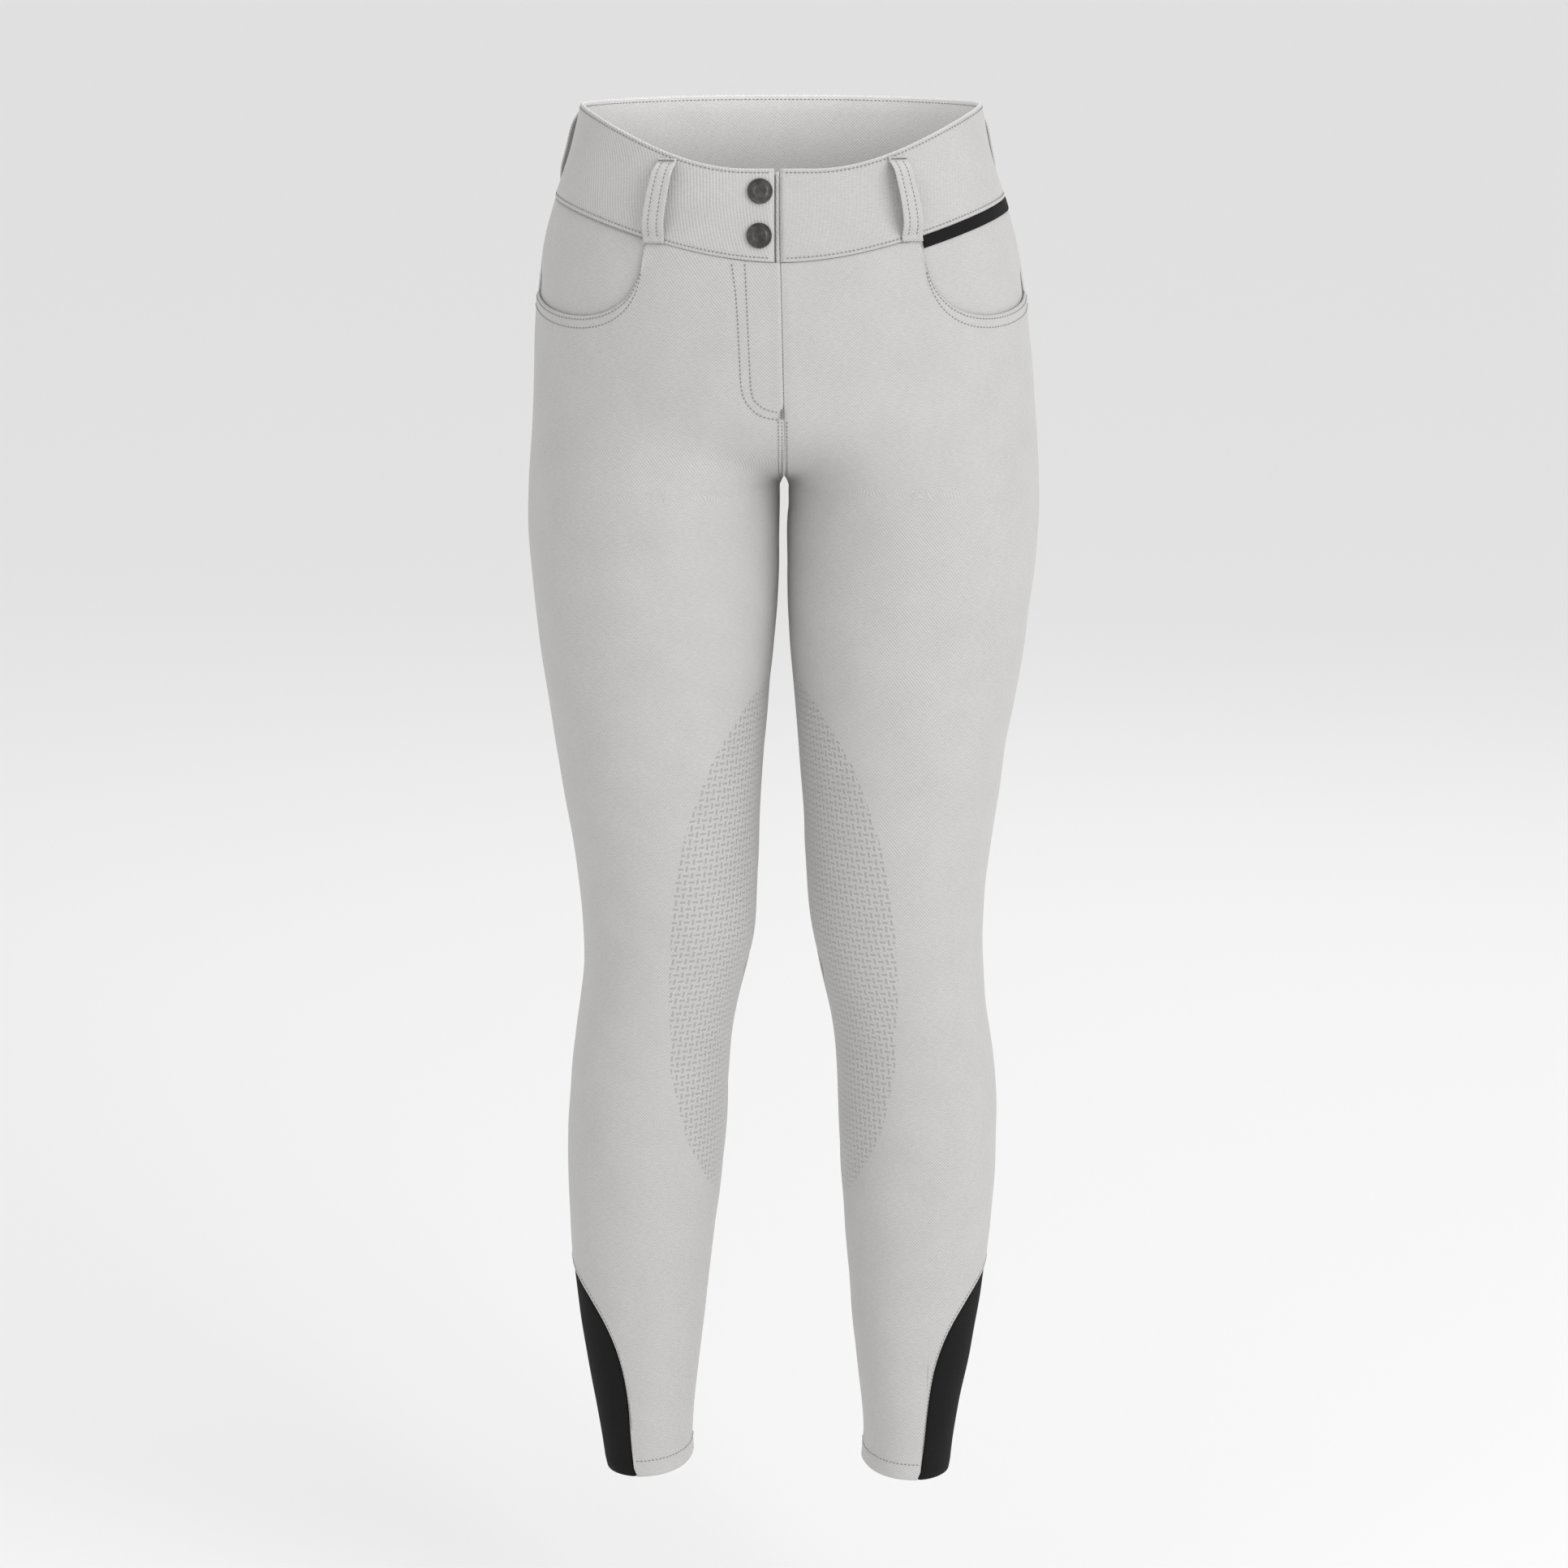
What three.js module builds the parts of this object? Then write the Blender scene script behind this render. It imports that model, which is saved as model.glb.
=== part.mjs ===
// Women's riding breeches, filled out as worn, with no wearer: a contoured waistband with two press
// studs, a fly, scooped front pockets, five belt loops, full-length legs and dark stretch inserts at
// the ankles. Each cut piece is its own thin closed wall.
//
// Millimetres, +Z up. The front faces -Y and the wearer's left is +X. The origin is the centre of the
// waist opening, level with its sides. "drop" is a distance below the origin. "turn" runs round one
// half of the garment: -1 at the centre front or front inseam, 0 at the side seam, +1 at the centre
// back or back inseam. "side" is +1 for the wearer's left and -1 for the right.

import * as THREE from "three";

// Cloth and seams.
const clothThickness = 1.4;
const bandProud = 0.5;
const bandInside = 1.9;
const seamGap = 0.32;
const layerGap = 0.35;
const facingThickness = 1.2;
const hemThickness = 2.6;
const hemHeight = 15;

// The waistband's edges: how far they drop at the side, centre front and centre back, and the turn
// past which they run level.
const bandTop = { side: 0, front: 38.5, back: -2, level: 0.88 };
const bandFoot = { side: 62, front: 98, back: 60, level: 1 };

// The crotch and the rounding around it.
const crotchDrop = 252;
const crotchFillet = 12;
const filletFade = 10;
const bridgeGrowth = 1.9;
const frontMerge = 70;
const backMerge = 125;
const thighFront = -94.5;

// The shape of the sections: 2 is an ellipse, and more is squarer.
const hipSquareness = 2.25;
const legSquareness = 2.1;
const sideSeamForward = THREE.MathUtils.degToRad(3);

// The hem: level at the front, lower on the outside than on the inside.
const hem = { drop: 956, tilt: 3, leftLower: 1.5 };

// The scooped pocket mouth, from the waistband to the side seam.
const pocket = { topTurn: -0.545, drop: 136, sideRise: 5, squareness: 2.5 };

// The ankle insert: an arch about the side seam that widens down to the hem.
const insert = { topDrop: 808, frontTurn: 0.425, backTurn: 0.43, narrowing: 3.5, roundness: 0.6 };
const insertRecess = 0.4;
const insertThickness = 1.1;

// The band's opening at the centre front, and the piece that lies behind it.
const overlap = { edge: 3.6, underlapRight: 33, underlapLeft: 9, footDrop: 202, thickness: 1.2 };

const snap = { radius: 8.2, rimHeight: 1.5, height: 2.3, facets: 28, offCentre: 12.8, drops: [53, 81] };

const loop = { width: 13.5, thickness: 1.5, standOff: 7.6, topMargin: 4, footPast: 1.5 };

const ribbon = { height: 7.4, thickness: 1 };

// One row for each section. outer and inner are the sides of one leg, front and back are its depth,
// and lean moves the section sideways. Above the crotch, outer is half the width of both legs.
const sections = [
  { drop: -20, outer: 129.4, inner: 3, front: -90.5, back: 84, lean: -1.4 },
  { drop: 0, outer: 132.7, inner: 3, front: -92, back: 88, lean: -1.8 },
  { drop: 30, outer: 138.9, inner: 3, front: -95.5, back: 94, lean: -2.5 },
  { drop: 48, outer: 144.6, inner: 3, front: -98.7, back: 98.8, lean: -2.8 },
  { drop: 62, outer: 149.8, inner: 3, front: -101.5, back: 103, lean: -2.7 },
  { drop: 90, outer: 158.1, inner: 3, front: -105.5, back: 111, lean: -2.5 },
  { drop: 115, outer: 162.5, inner: 3, front: -107.5, back: 117, lean: -1.9 },
  { drop: 140, outer: 165.8, inner: 3, front: -107, back: 122, lean: -1.3 },
  { drop: 180, outer: 168.6, inner: 3, front: -103, back: 127, lean: -0.4 },
  { drop: 215, outer: 171.2, inner: 3, front: -98, back: 126, lean: 0 },
  { drop: 252, outer: 173.2, inner: 3, front: -94, back: 117, lean: 0 },
  { drop: 290, outer: 173, inner: 2.6, front: -91, back: 102.5, lean: -0.4 },
  { drop: 340, outer: 168.2, inner: 3.6, front: -89.5, back: 88, lean: -1 },
  { drop: 400, outer: 159.2, inner: 9, front: -87, back: 77, lean: -1.7 },
  { drop: 460, outer: 149.8, inner: 13.8, front: -83, back: 67, lean: -1.7 },
  { drop: 520, outer: 141.2, inner: 16.9, front: -76.5, back: 57.5, lean: -1.3 },
  { drop: 555, outer: 138, inner: 19, front: -72, back: 53, lean: -0.6 },
  { drop: 580, outer: 137.9, inner: 23.2, front: -68, back: 52, lean: -0.3 },
  { drop: 610, outer: 140.8, inner: 30.4, front: -63.5, back: 55.5, lean: -0.6 },
  { drop: 640, outer: 144.8, inner: 35.6, front: -59.5, back: 60.5, lean: -0.7 },
  { drop: 670, outer: 148.1, inner: 38, front: -56, back: 65, lean: -0.7 },
  { drop: 715, outer: 150.6, inner: 40, front: -51.5, back: 68, lean: -1.1 },
  { drop: 760, outer: 149.3, inner: 43.8, front: -47, back: 67, lean: -2 },
  { drop: 800, outer: 147.2, inner: 47.5, front: -43, back: 63, lean: -3.2 },
  { drop: 840, outer: 142, inner: 51.7, front: -40, back: 58, lean: -3.7 },
  { drop: 880, outer: 135.8, inner: 55.9, front: -38, back: 53, lean: -4.1 },
  { drop: 920, outer: 128.8, inner: 60.3, front: -36.8, back: 49.5, lean: -4.4 },
  { drop: 940, outer: 125.4, inner: 61.1, front: -36.5, back: 48.6, lean: -4.5 },
  { drop: 975, outer: 121, inner: 58.6, front: -37, back: 48.6, lean: -4.5 },
];

// The largest soft folds. Each lies across the leg about a turn and a drop, is raised by height, or
// sunk where that is negative, and climbs by slope millimetres a turn.
const folds = [
  { turn: 0.97, drop: 262, reach: 0.34, width: 9, height: -1.6, slope: 60 },
  { turn: 0.88, drop: 292, reach: 0.3, width: 11, height: -1.3, slope: 75 },
  { turn: 0.72, drop: 566, reach: 0.3, width: 8, height: -1.8, slope: -22 },
  { turn: 0.66, drop: 592, reach: 0.34, width: 9, height: -2.1, slope: 12 },
  { turn: 0.6, drop: 618, reach: 0.24, width: 10, height: -1.4, slope: 34 },
  { turn: -0.92, drop: 586, reach: 0.24, width: 9, height: -1.3, slope: -70 },
  { turn: -0.12, drop: 604, reach: 0.22, width: 22, height: -1.2, slope: 40 },
];

const clamp = THREE.MathUtils.clamp;
const mix = THREE.MathUtils.lerp;

function smooth(from, to, value) {
  const t = clamp((value - from) / (to - from), 0, 1);
  return t * t * (3 - 2 * t);
}

const depthBetween = (front, back) => ({ middleY: (front + back) / 2, depth: (back - front) / 2 });

// The section at a drop, as a smooth curve through the rows of the table.
const sectionCache = new Map();
function sectionAt(drop) {
  if (sectionCache.has(drop)) return sectionCache.get(drop);
  let k = 1;
  while (k < sections.length - 2 && sections[k + 1].drop < drop) k += 1;
  const low = sections[k];
  const high = sections[k + 1];
  const before = sections[Math.max(k - 1, 0)];
  const after = sections[Math.min(k + 2, sections.length - 1)];
  const span = high.drop - low.drop;
  const t = (drop - low.drop) / span;
  const found = {};
  for (const column of ["outer", "inner", "front", "back", "lean"]) {
    const startSlope = ((high[column] - before[column]) / (high.drop - before.drop)) * span;
    const endSlope = ((after[column] - low[column]) / (after.drop - low.drop)) * span;
    found[column] =
      (2 * t ** 3 - 3 * t ** 2 + 1) * low[column] +
      (t ** 3 - 2 * t ** 2 + t) * startSlope +
      (3 * t ** 2 - 2 * t ** 3) * high[column] +
      (t ** 3 - t ** 2) * endSlope;
  }
  found.legX = (found.outer + found.inner) / 2;
  found.legWidth = (found.outer - found.inner) / 2;
  found.whole = depthBetween(found.front, found.back);
  found.leg = depthBetween(drop < crotchDrop ? Math.max(found.front, thighFront) : found.front, found.back);
  found.fillet =
    drop < crotchDrop
      ? crotchFillet + bridgeGrowth * (crotchDrop - drop)
      : crotchFillet * (1 - smooth(crotchDrop, crotchDrop + filletFade, drop));
  sectionCache.set(drop, found);
  return found;
}

// How far a point lies outside a section's rounded form. Below 0 is inside.
function outside(x, y, centreX, halfWidth, { middleY, depth }, squareness) {
  const across = (Math.abs(x - centreX) / halfWidth) ** squareness;
  const along = (Math.abs(y - middleY) / depth) ** squareness;
  return ((across + along) ** (1 / squareness) - 1) * halfWidth;
}

// The body of the garment: two legs, softly joined above the crotch, which become one hip section.
function field(x, y, drop) {
  const section = sectionAt(drop);
  const near = outside(x, y, section.legX, section.legWidth, section.leg, legSquareness);
  const far = outside(-x, y, section.legX, section.legWidth, section.leg, legSquareness);
  const shared = Math.max(section.fillet - Math.abs(near - far), 0);
  const blend = section.fillet > 0 ? shared ** 2 / (4 * section.fillet) : 0;
  const legs = Math.min(near, far) - blend;
  if (drop >= crotchDrop) return legs;
  const merge = mix(frontMerge, backMerge, smooth(-60, 60, y));
  const share = smooth(0, merge, crotchDrop - drop);
  return mix(legs, outside(x, y, 0, section.outer, section.whole, hipSquareness), share);
}

function crossing(from, to, value) {
  let [low, high] = [from, to];
  for (let k = 0; k < 44; k += 1) {
    const middle = (low + high) / 2;
    if (value(middle) < 0) low = middle;
    else high = middle;
  }
  return (low + high) / 2;
}

// The directions, seen from the leg's axis, of the centre front and the centre back.
const endsCache = new Map();
function endsAt(drop) {
  if (endsCache.has(drop)) return endsCache.get(drop);
  const section = sectionAt(drop);
  let ends = { front: -Math.PI, back: Math.PI };
  if (drop < crotchDrop) {
    const reach = section.whole.depth + 40;
    const { middleY } = section.leg;
    const front = -crossing(0, reach, (d) => field(0, middleY - d, drop));
    const back = crossing(0, reach, (d) => field(0, middleY + d, drop));
    ends = { front: Math.atan2(front, -section.legX), back: Math.atan2(back, -section.legX) };
  }
  endsCache.set(drop, ends);
  return ends;
}

function direction(turn, drop) {
  const ends = endsAt(drop);
  const amount = Math.abs(turn);
  const forward = sideSeamForward * (1 - amount);
  return turn < 0
    ? -Math.PI * amount + (ends.front + Math.PI) * amount ** 2 - forward
    : Math.PI * amount - (Math.PI - ends.back) * amount ** 2 - forward;
}

function foldHeight(turn, drop) {
  let height = 0;
  for (const fold of folds) {
    const across = (turn - fold.turn) / fold.reach;
    if (Math.abs(across) >= 1) continue;
    const off = (drop - fold.drop - fold.slope * (turn - fold.turn)) / fold.width;
    height += fold.height * (1 - across ** 2) ** 2 * Math.exp(-(off ** 2));
  }
  return height;
}

// A point of the garment's outer face, moved out by "out". keepOff holds it off the middle plane.
function clothPoint(side, turn, drop, out = 0, keepOff = 0) {
  const section = sectionAt(drop);
  const angle = direction(turn, drop);
  const [cos, sin] = [Math.cos(angle), Math.sin(angle)];
  const limit = cos < 0 ? section.legX / -cos : 400;
  const { middleY } = section.leg;
  const radius = crossing(0, limit, (r) => field(section.legX + r * cos, middleY + r * sin, drop));
  const x = section.legX + radius * cos;
  const y = middleY + radius * sin;
  const step = 0.25;
  const normal = new THREE.Vector3(
    field(x + step, y, drop) - field(x - step, y, drop),
    field(x, y + step, drop) - field(x, y - step, drop),
    field(x, y, drop - step) - field(x, y, drop + step),
  ).normalize();
  const point = new THREE.Vector3(x, y, -drop).addScaledVector(normal, out + foldHeight(turn, drop));
  point.x = Math.max(point.x, keepOff);
  return new THREE.Vector3(side * point.x + section.lean, point.y, point.z);
}

function clothNormal(side, turn, drop) {
  return clothPoint(side, turn, drop, 1).sub(clothPoint(side, turn, drop, 0)).normalize();
}

// The distance round one turn of a section, for changing millimetres into turns.
function turnLength(drop) {
  const section = sectionAt(drop);
  return drop < crotchDrop
    ? Math.PI * Math.sqrt((section.outer ** 2 + section.whole.depth ** 2) / 2) * 0.5
    : Math.PI * Math.sqrt((section.legWidth ** 2 + section.leg.depth ** 2) / 2);
}

const turnsFor = (length, drop) => length / turnLength(drop);

function edgeDrop(edge, turn) {
  return mix(edge.side, turn < 0 ? edge.front : edge.back, smooth(0, edge.level, Math.abs(turn)));
}

const topDrop = (turn) => edgeDrop(bandTop, turn);
const footDrop = (turn) => edgeDrop(bandFoot, turn);

function hemDrop(side, turn) {
  return hem.drop + hem.tilt * Math.cos(Math.PI * turn) + (side > 0 ? hem.leftLower : -hem.leftLower);
}

// The cells of a grid of rows and columns, as triangles.
function gridCells(rows, columns) {
  const cells = [];
  for (let r = 0; r < rows - 1; r += 1) {
    for (let c = 0; c < columns - 1; c += 1) {
      const [a, b] = [r * columns + c, (r + 1) * columns + c];
      cells.push([a, b, b + 1], [a, b + 1, a + 1]);
    }
  }
  return cells;
}

// A closed wall: an outer and an inner sheet of points with the same cells, joined round their edge.
function closedWall(outer, inner, cells) {
  const positions = [...outer, ...inner].flatMap((p) => [p.x, p.y, p.z]);
  const under = outer.length;
  const index = cells.flatMap(([a, b, c]) => [a, b, c, under + a, under + c, under + b]);
  const edges = cells.flatMap(([a, b, c]) => [[a, b], [b, c], [c, a]]);
  const known = new Set(edges.map(([a, b]) => `${a},${b}`));
  for (const [a, b] of edges) {
    if (!known.has(`${b},${a}`)) index.push(b, a, under + a, b, under + a, under + b);
  }
  if (enclosedVolume(positions, index) < 0) index.reverse();
  const geometry = new THREE.BufferGeometry();
  geometry.setAttribute("position", new THREE.Float32BufferAttribute(positions, 3));
  geometry.setIndex(index);
  geometry.computeVertexNormals();
  return geometry;
}

function enclosedVolume(positions, index) {
  const corner = (k) => new THREE.Vector3().fromArray(positions, index[k] * 3);
  let volume = 0;
  for (let k = 0; k < index.length; k += 3) volume += corner(k).dot(corner(k + 1).cross(corner(k + 2))) / 6;
  return volume;
}

// A cut piece: places on the garment, each { side, turn, drop }, between two offsets.
function clothSheet(places, cells, outerOffset, innerOffset, keepOff = 0) {
  const layer = (offset) => places.map((p) => clothPoint(p.side, p.turn, p.drop, offset(p), keepOff));
  return closedWall(layer(outerOffset), layer(innerOffset), cells);
}

function clothPiece(rows, outerOffset, innerOffset, keepOff = 0) {
  const cells = gridCells(rows.length, rows[0].length);
  return clothSheet(rows.flat(), cells, outerOffset, innerOffset, keepOff);
}

const constant = (value) => () => value;
const count = (n) => Array.from({ length: n + 1 }, (_, k) => k / n);

const materials = {
  breechesCloth: new THREE.MeshStandardMaterial({ color: 0xc9c8c6, roughness: 0.85, metalness: 0 }),
  bandCloth: new THREE.MeshStandardMaterial({ color: 0xc7c6c4, roughness: 0.85, metalness: 0 }),
  stretchCloth: new THREE.MeshStandardMaterial({ color: 0x1c1c1d, roughness: 0.8, metalness: 0 }),
  ribbonCloth: new THREE.MeshStandardMaterial({ color: 0x121213, roughness: 0.6, metalness: 0 }),
  gunmetal: new THREE.MeshStandardMaterial({ color: 0x3c3a38, roughness: 0.35, metalness: 0.9 }),
};

const breeches = new THREE.Group();
breeches.name = "riding_breeches";

function add(name, geometry, material) {
  const mesh = new THREE.Mesh(geometry, material);
  mesh.name = name;
  breeches.add(mesh);
  return mesh;
}

const sideName = (side) => (side > 0 ? "left" : "right");

// The curves that cut the panels. Each runs from 0 to 1 away from a panel's corner.
function pocketCurve(part) {
  const angle = (part * Math.PI) / 2;
  const power = 2 / pocket.squareness;
  const turn = pocket.topTurn * Math.cos(angle) ** power;
  const startDrop = footDrop(pocket.topTurn);
  const depth = pocket.drop - startDrop;
  const drop = startDrop + depth * Math.sin(angle) ** power - pocket.sideRise * part ** 6;
  return { turn, drop };
}

function insertCurve(part, sign, side) {
  const wide = sign < 0 ? insert.frontTurn : insert.backTurn;
  const foot = hemDrop(side, sign * wide);
  const height = foot - insert.topDrop;
  const fromTop = (1 - part) ** 1.6;
  return {
    turn: sign * wide * (1 - (1 - fromTop) ** insert.narrowing) ** insert.roundness,
    drop: insert.topDrop + height * fromTop,
  };
}

// The panel's rows, as shares of its length at the inner edge. They crowd round the crotch.
const rowsAboveCrotch = 9;
const rowsBelowCrotch = 27;
const panelTop = bandFoot.front;
function rowShares() {
  const crotchShare = (crotchDrop - panelTop) / (hem.drop - panelTop);
  const above = count(rowsAboveCrotch).map((k) => ({
    edge: crotchShare * (1 - (1 - k) ** 2.2),
    even: crotchShare * k,
  }));
  const below = count(rowsBelowCrotch)
    .slice(1)
    .map((k) => {
      const share = mix(crotchShare, 1, k);
      const edge = mix(crotchShare, 1, k ** 1.12);
      return { edge, even: share };
    });
  return [...above, ...below];
}

const innerColumns = 8;
const outerColumns = 8;

// A front or back panel of one leg, from the waistband to the hem. sign is -1 for the front.
function panelRows(side, sign) {
  const columns = count(innerColumns + outerColumns);
  const corner = innerColumns / (innerColumns + outerColumns);
  const topAt = (s) => {
    const mouth = sign < 0 ? pocket.topTurn : 0.5;
    const start = sign * Math.abs(mouth);
    const turn = s <= corner ? mix(sign, start, s / corner) : mix(start, 0, (s - corner) / (1 - corner));
    const drop = footDrop(turn) + seamGap;
    if (sign > 0 || s <= corner) return { turn, drop };
    const cut = pocketCurve((s - corner) / (1 - corner));
    return { turn: cut.turn, drop: cut.drop + seamGap };
  };
  const bottomAt = (s) => {
    const wide = sign < 0 ? insert.frontTurn : insert.backTurn;
    if (s > corner) return insertCurve((s - corner) / (1 - corner), sign, side);
    const turn = mix(sign, sign * wide, s / corner);
    return { turn, drop: hemDrop(side, turn) };
  };
  return rowShares().map(({ edge, even }) =>
    columns.map((s) => {
      const [top, bottom] = [topAt(s), bottomAt(s)];
      const share = mix(edge, even, smooth(0, 0.5, s));
      const drop = mix(top.drop, bottom.drop, share);
      const turn = mix(top.turn, bottom.turn, smooth(0, 1, share));
      const gap = turnsFor(seamGap / 2, drop);
      return { side, turn: sign * clamp(Math.abs(turn), gap, 1 - gap), drop };
    }),
  );
}

function wallInside(p) {
  const foot = hemDrop(p.side, p.turn);
  return -mix(clothThickness, hemThickness, smooth(foot - hemHeight - 1, foot - hemHeight + 1, p.drop));
}

for (const side of [-1, 1]) {
  for (const [name, sign] of [["front", -1], ["back", 1]]) {
    const geometry = clothPiece(panelRows(side, sign), constant(0), wallInside, seamGap / 2);
    add(`${name}_${sideName(side)}`, geometry, materials.breechesCloth);
  }
}

// The ankle inserts share the panels' cut curve, moved in by the seam gap. Their top is cut across
// just under the panels' corner.
const insertTopShare = 0.3;
const insertColumns = 10;

for (const side of [-1, 1]) {
  const cut = (part) => [-1, 1].map((sign) => insertCurve(part, sign, side));
  const steps = count(outerColumns).reverse().slice(1).map(cut);
  const apex = cut(1);
  const top = apex.map((corner, k) => ({
    turn: mix(corner.turn, steps[0][k].turn, insertTopShare),
    drop: mix(corner.drop, steps[0][k].drop, insertTopShare),
  }));
  const narrower = (place) => Math.abs(place.turn) - turnsFor(seamGap, place.drop);
  const grid = [top, ...steps].map(([front, back], row) =>
    count(insertColumns).map((k) => {
      const turn = mix(-narrower(front), narrower(back), k);
      const atFoot = row === steps.length;
      return { side, turn, drop: atFoot ? hemDrop(side, turn) : mix(front.drop, back.drop, k) + seamGap };
    }),
  );
  const geometry = clothPiece(grid, constant(-insertRecess), constant(-insertRecess - insertThickness));
  add(`ankle_insert_${sideName(side)}`, geometry, materials.stretchCloth);
}

// The pocket facings lie under the fronts, on the fronts' own points, and rise to the side seam where
// they show. Their open part has a row at the ribbon's lower edge.
const facingFace = (p) => -clothThickness - layerGap + (p.lift ?? 0);
const sideLift = clothThickness + layerGap - 0.1;

function openRow(side, below) {
  const fromCorner = 0.75;
  return count(outerColumns).slice(1).map((_, k) => {
    const share = (k + 1 - fromCorner) / (outerColumns - fromCorner);
    const turn = mix(pocket.topTurn, -turnsFor(seamGap / 2, bandFoot.side), share);
    return { side, turn, drop: footDrop(turn) + seamGap + below, lift: share === 1 ? sideLift : 0 };
  });
}

for (const side of [-1, 1]) {
  const panel = panelRows(side, -1);
  const hidden = [0, 1, 2].flatMap((r) => panel[r].slice(innerColumns - 1));
  const wide = outerColumns + 2;
  const top = openRow(side, 0);
  const ribbonRow = openRow(side, ribbon.height);
  const places = [...hidden, ...top, ...ribbonRow];
  const mouth = (k) => 1 + k;
  const topAt = (k) => hidden.length + k - 1;
  const ribbonAt = (k) => hidden.length + outerColumns + k - 1;
  const cells = gridCells(3, wide);
  cells.push([mouth(0), ribbonAt(1), topAt(1)], [mouth(0), mouth(1), ribbonAt(1)]);
  for (let k = 1; k < outerColumns; k += 1) {
    cells.push([topAt(k), ribbonAt(k), ribbonAt(k + 1)], [topAt(k), ribbonAt(k + 1), topAt(k + 1)]);
    cells.push([ribbonAt(k), mouth(k), mouth(k + 1)], [ribbonAt(k), mouth(k + 1), ribbonAt(k + 1)]);
  }
  const geometry = clothSheet(places, cells, facingFace, (p) => facingFace(p) - facingThickness);
  add(`pocket_facing_${sideName(side)}`, geometry, materials.breechesCloth);
}

// The waistband: a right front that ends a little short of the centre, a left front, and a back that
// runs from side seam to side seam.
const acrossCentre = (length) => turnsFor(length, bandFoot.side);
function bandGrid(places) {
  return count(4).map((down) =>
    places.map(({ side, turn }) => ({ side, turn, drop: mix(topDrop(turn), footDrop(turn), down) })),
  );
}

function bandPiece(name, places, keepOff = 0) {
  const wall = clothPiece(bandGrid(places), constant(bandProud), constant(-bandInside), keepOff);
  add(name, wall, materials.bandCloth);
}

const sideEnd = turnsFor(seamGap / 2, bandFoot.side);
const rightBandEnd = -1 + acrossCentre(overlap.edge);
const rightBandPlaces = count(12).map((k) => ({ side: -1, turn: mix(rightBandEnd, -sideEnd, k) }));
const leftBandPlaces = count(12).map((k) => ({ side: 1, turn: mix(-1, -sideEnd, k) }));
bandPiece("waistband_right", rightBandPlaces, overlap.edge);
bandPiece("waistband_left", leftBandPlaces);
bandPiece("waistband_back", [
  ...count(12).map((k) => ({ side: -1, turn: mix(sideEnd, 1, k) })),
  ...count(12).slice(0, -1).reverse().map((k) => ({ side: 1, turn: mix(sideEnd, 1, k) })),
]);

// The fly underlap, behind both fronts. It shows in the band's opening.
const underlapFace = -bandInside - 2 * layerGap;
const underlapPlaces = [
  ...count(4).map((k) => ({ side: -1, turn: -1 + acrossCentre(mix(overlap.underlapRight, 0, k)) })),
  { side: 1, turn: -1 + acrossCentre(overlap.underlapLeft) },
];
add(
  "fly_underlap",
  clothPiece(
    count(8).map((down) =>
      underlapPlaces.map(({ side, turn }) => {
        return { side, turn, drop: mix(topDrop(turn) + 2, overlap.footDrop, down) };
      }),
    ),
    constant(underlapFace),
    constant(underlapFace - overlap.thickness),
  ),
  materials.breechesCloth,
);

// A plain dark ribbon along the left pocket's top, under the band, on the facing's own points.
add(
  "ribbon_left",
  clothPiece(
    [openRow(1, 0), openRow(1, ribbon.height)],
    (p) => facingFace(p) + layerGap + ribbon.thickness,
    (p) => facingFace(p) + layerGap,
  ),
  materials.ribbonCloth,
);

// The belt loops: a strip sewn down at both ends, folded at the top, and clear of the band between.
const loopProfile = [
  { along: 0, stand: 0, extra: 1.4 },
  { along: 0.05, stand: 0, extra: 1.5 },
  { along: 0.09, stand: 0.35, extra: 0.7 },
  { along: 0.15, stand: 0.72, extra: 0 },
  { along: 0.24, stand: 0.93, extra: 0 },
  { along: 0.38, stand: 1, extra: 0 },
  { along: 0.54, stand: 1, extra: 0 },
  { along: 0.7, stand: 0.93, extra: 0 },
  { along: 0.82, stand: 0.66, extra: 0 },
  { along: 0.9, stand: 0.25, extra: 0 },
  { along: 0.95, stand: 0.02, extra: 0.1 },
  { along: 1, stand: 0, extra: 0.1 },
];

const frontLoopTurn = pocket.topTurn - turnsFor(loop.width / 2, bandFoot.front);
const backLoopTurn = { right: 0.16, left: 0.2 };
const rightLoopLift = { fore: 0.84, aft: 1.2 };
const leftLoopLift = { fore: 1.3, aft: 0.95 };
const evenLift = { fore: 1, aft: 1 };

// lift says how far each of the loop's long edges stands off, as a share of the loop's own height.
function beltLoop(name, side, turn, lift = evenLift) {
  const start = topDrop(turn) + loop.topMargin;
  const length = footDrop(turn) + loop.footPast - start;
  const seat = bandProud + layerGap;
  const half = turnsFor(loop.width / 2, start + length / 2);
  const grid = loopProfile.map((p) =>
    count(3).map((k) => {
      const across = mix(-half, half, k);
      const past = turn + across > 1;
      return {
        side: past ? -side : side,
        turn: past ? 2 - turn - across : turn + across,
        drop: start + length * p.along,
        face: seat + loop.standOff * p.stand * mix(lift.fore, lift.aft, k),
        thick: loop.thickness + p.extra,
      };
    }),
  );
  add(name, clothPiece(grid, (p) => p.face + p.thick, (p) => p.face), materials.bandCloth);
}

beltLoop("belt_loop_front_right", -1, frontLoopTurn, rightLoopLift);
beltLoop("belt_loop_front_left", 1, frontLoopTurn, leftLoopLift);
beltLoop("belt_loop_back_right", -1, backLoopTurn.right);
beltLoop("belt_loop_back_left", 1, backLoopTurn.left);
beltLoop("belt_loop_centre_back", 1, 1);

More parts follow.
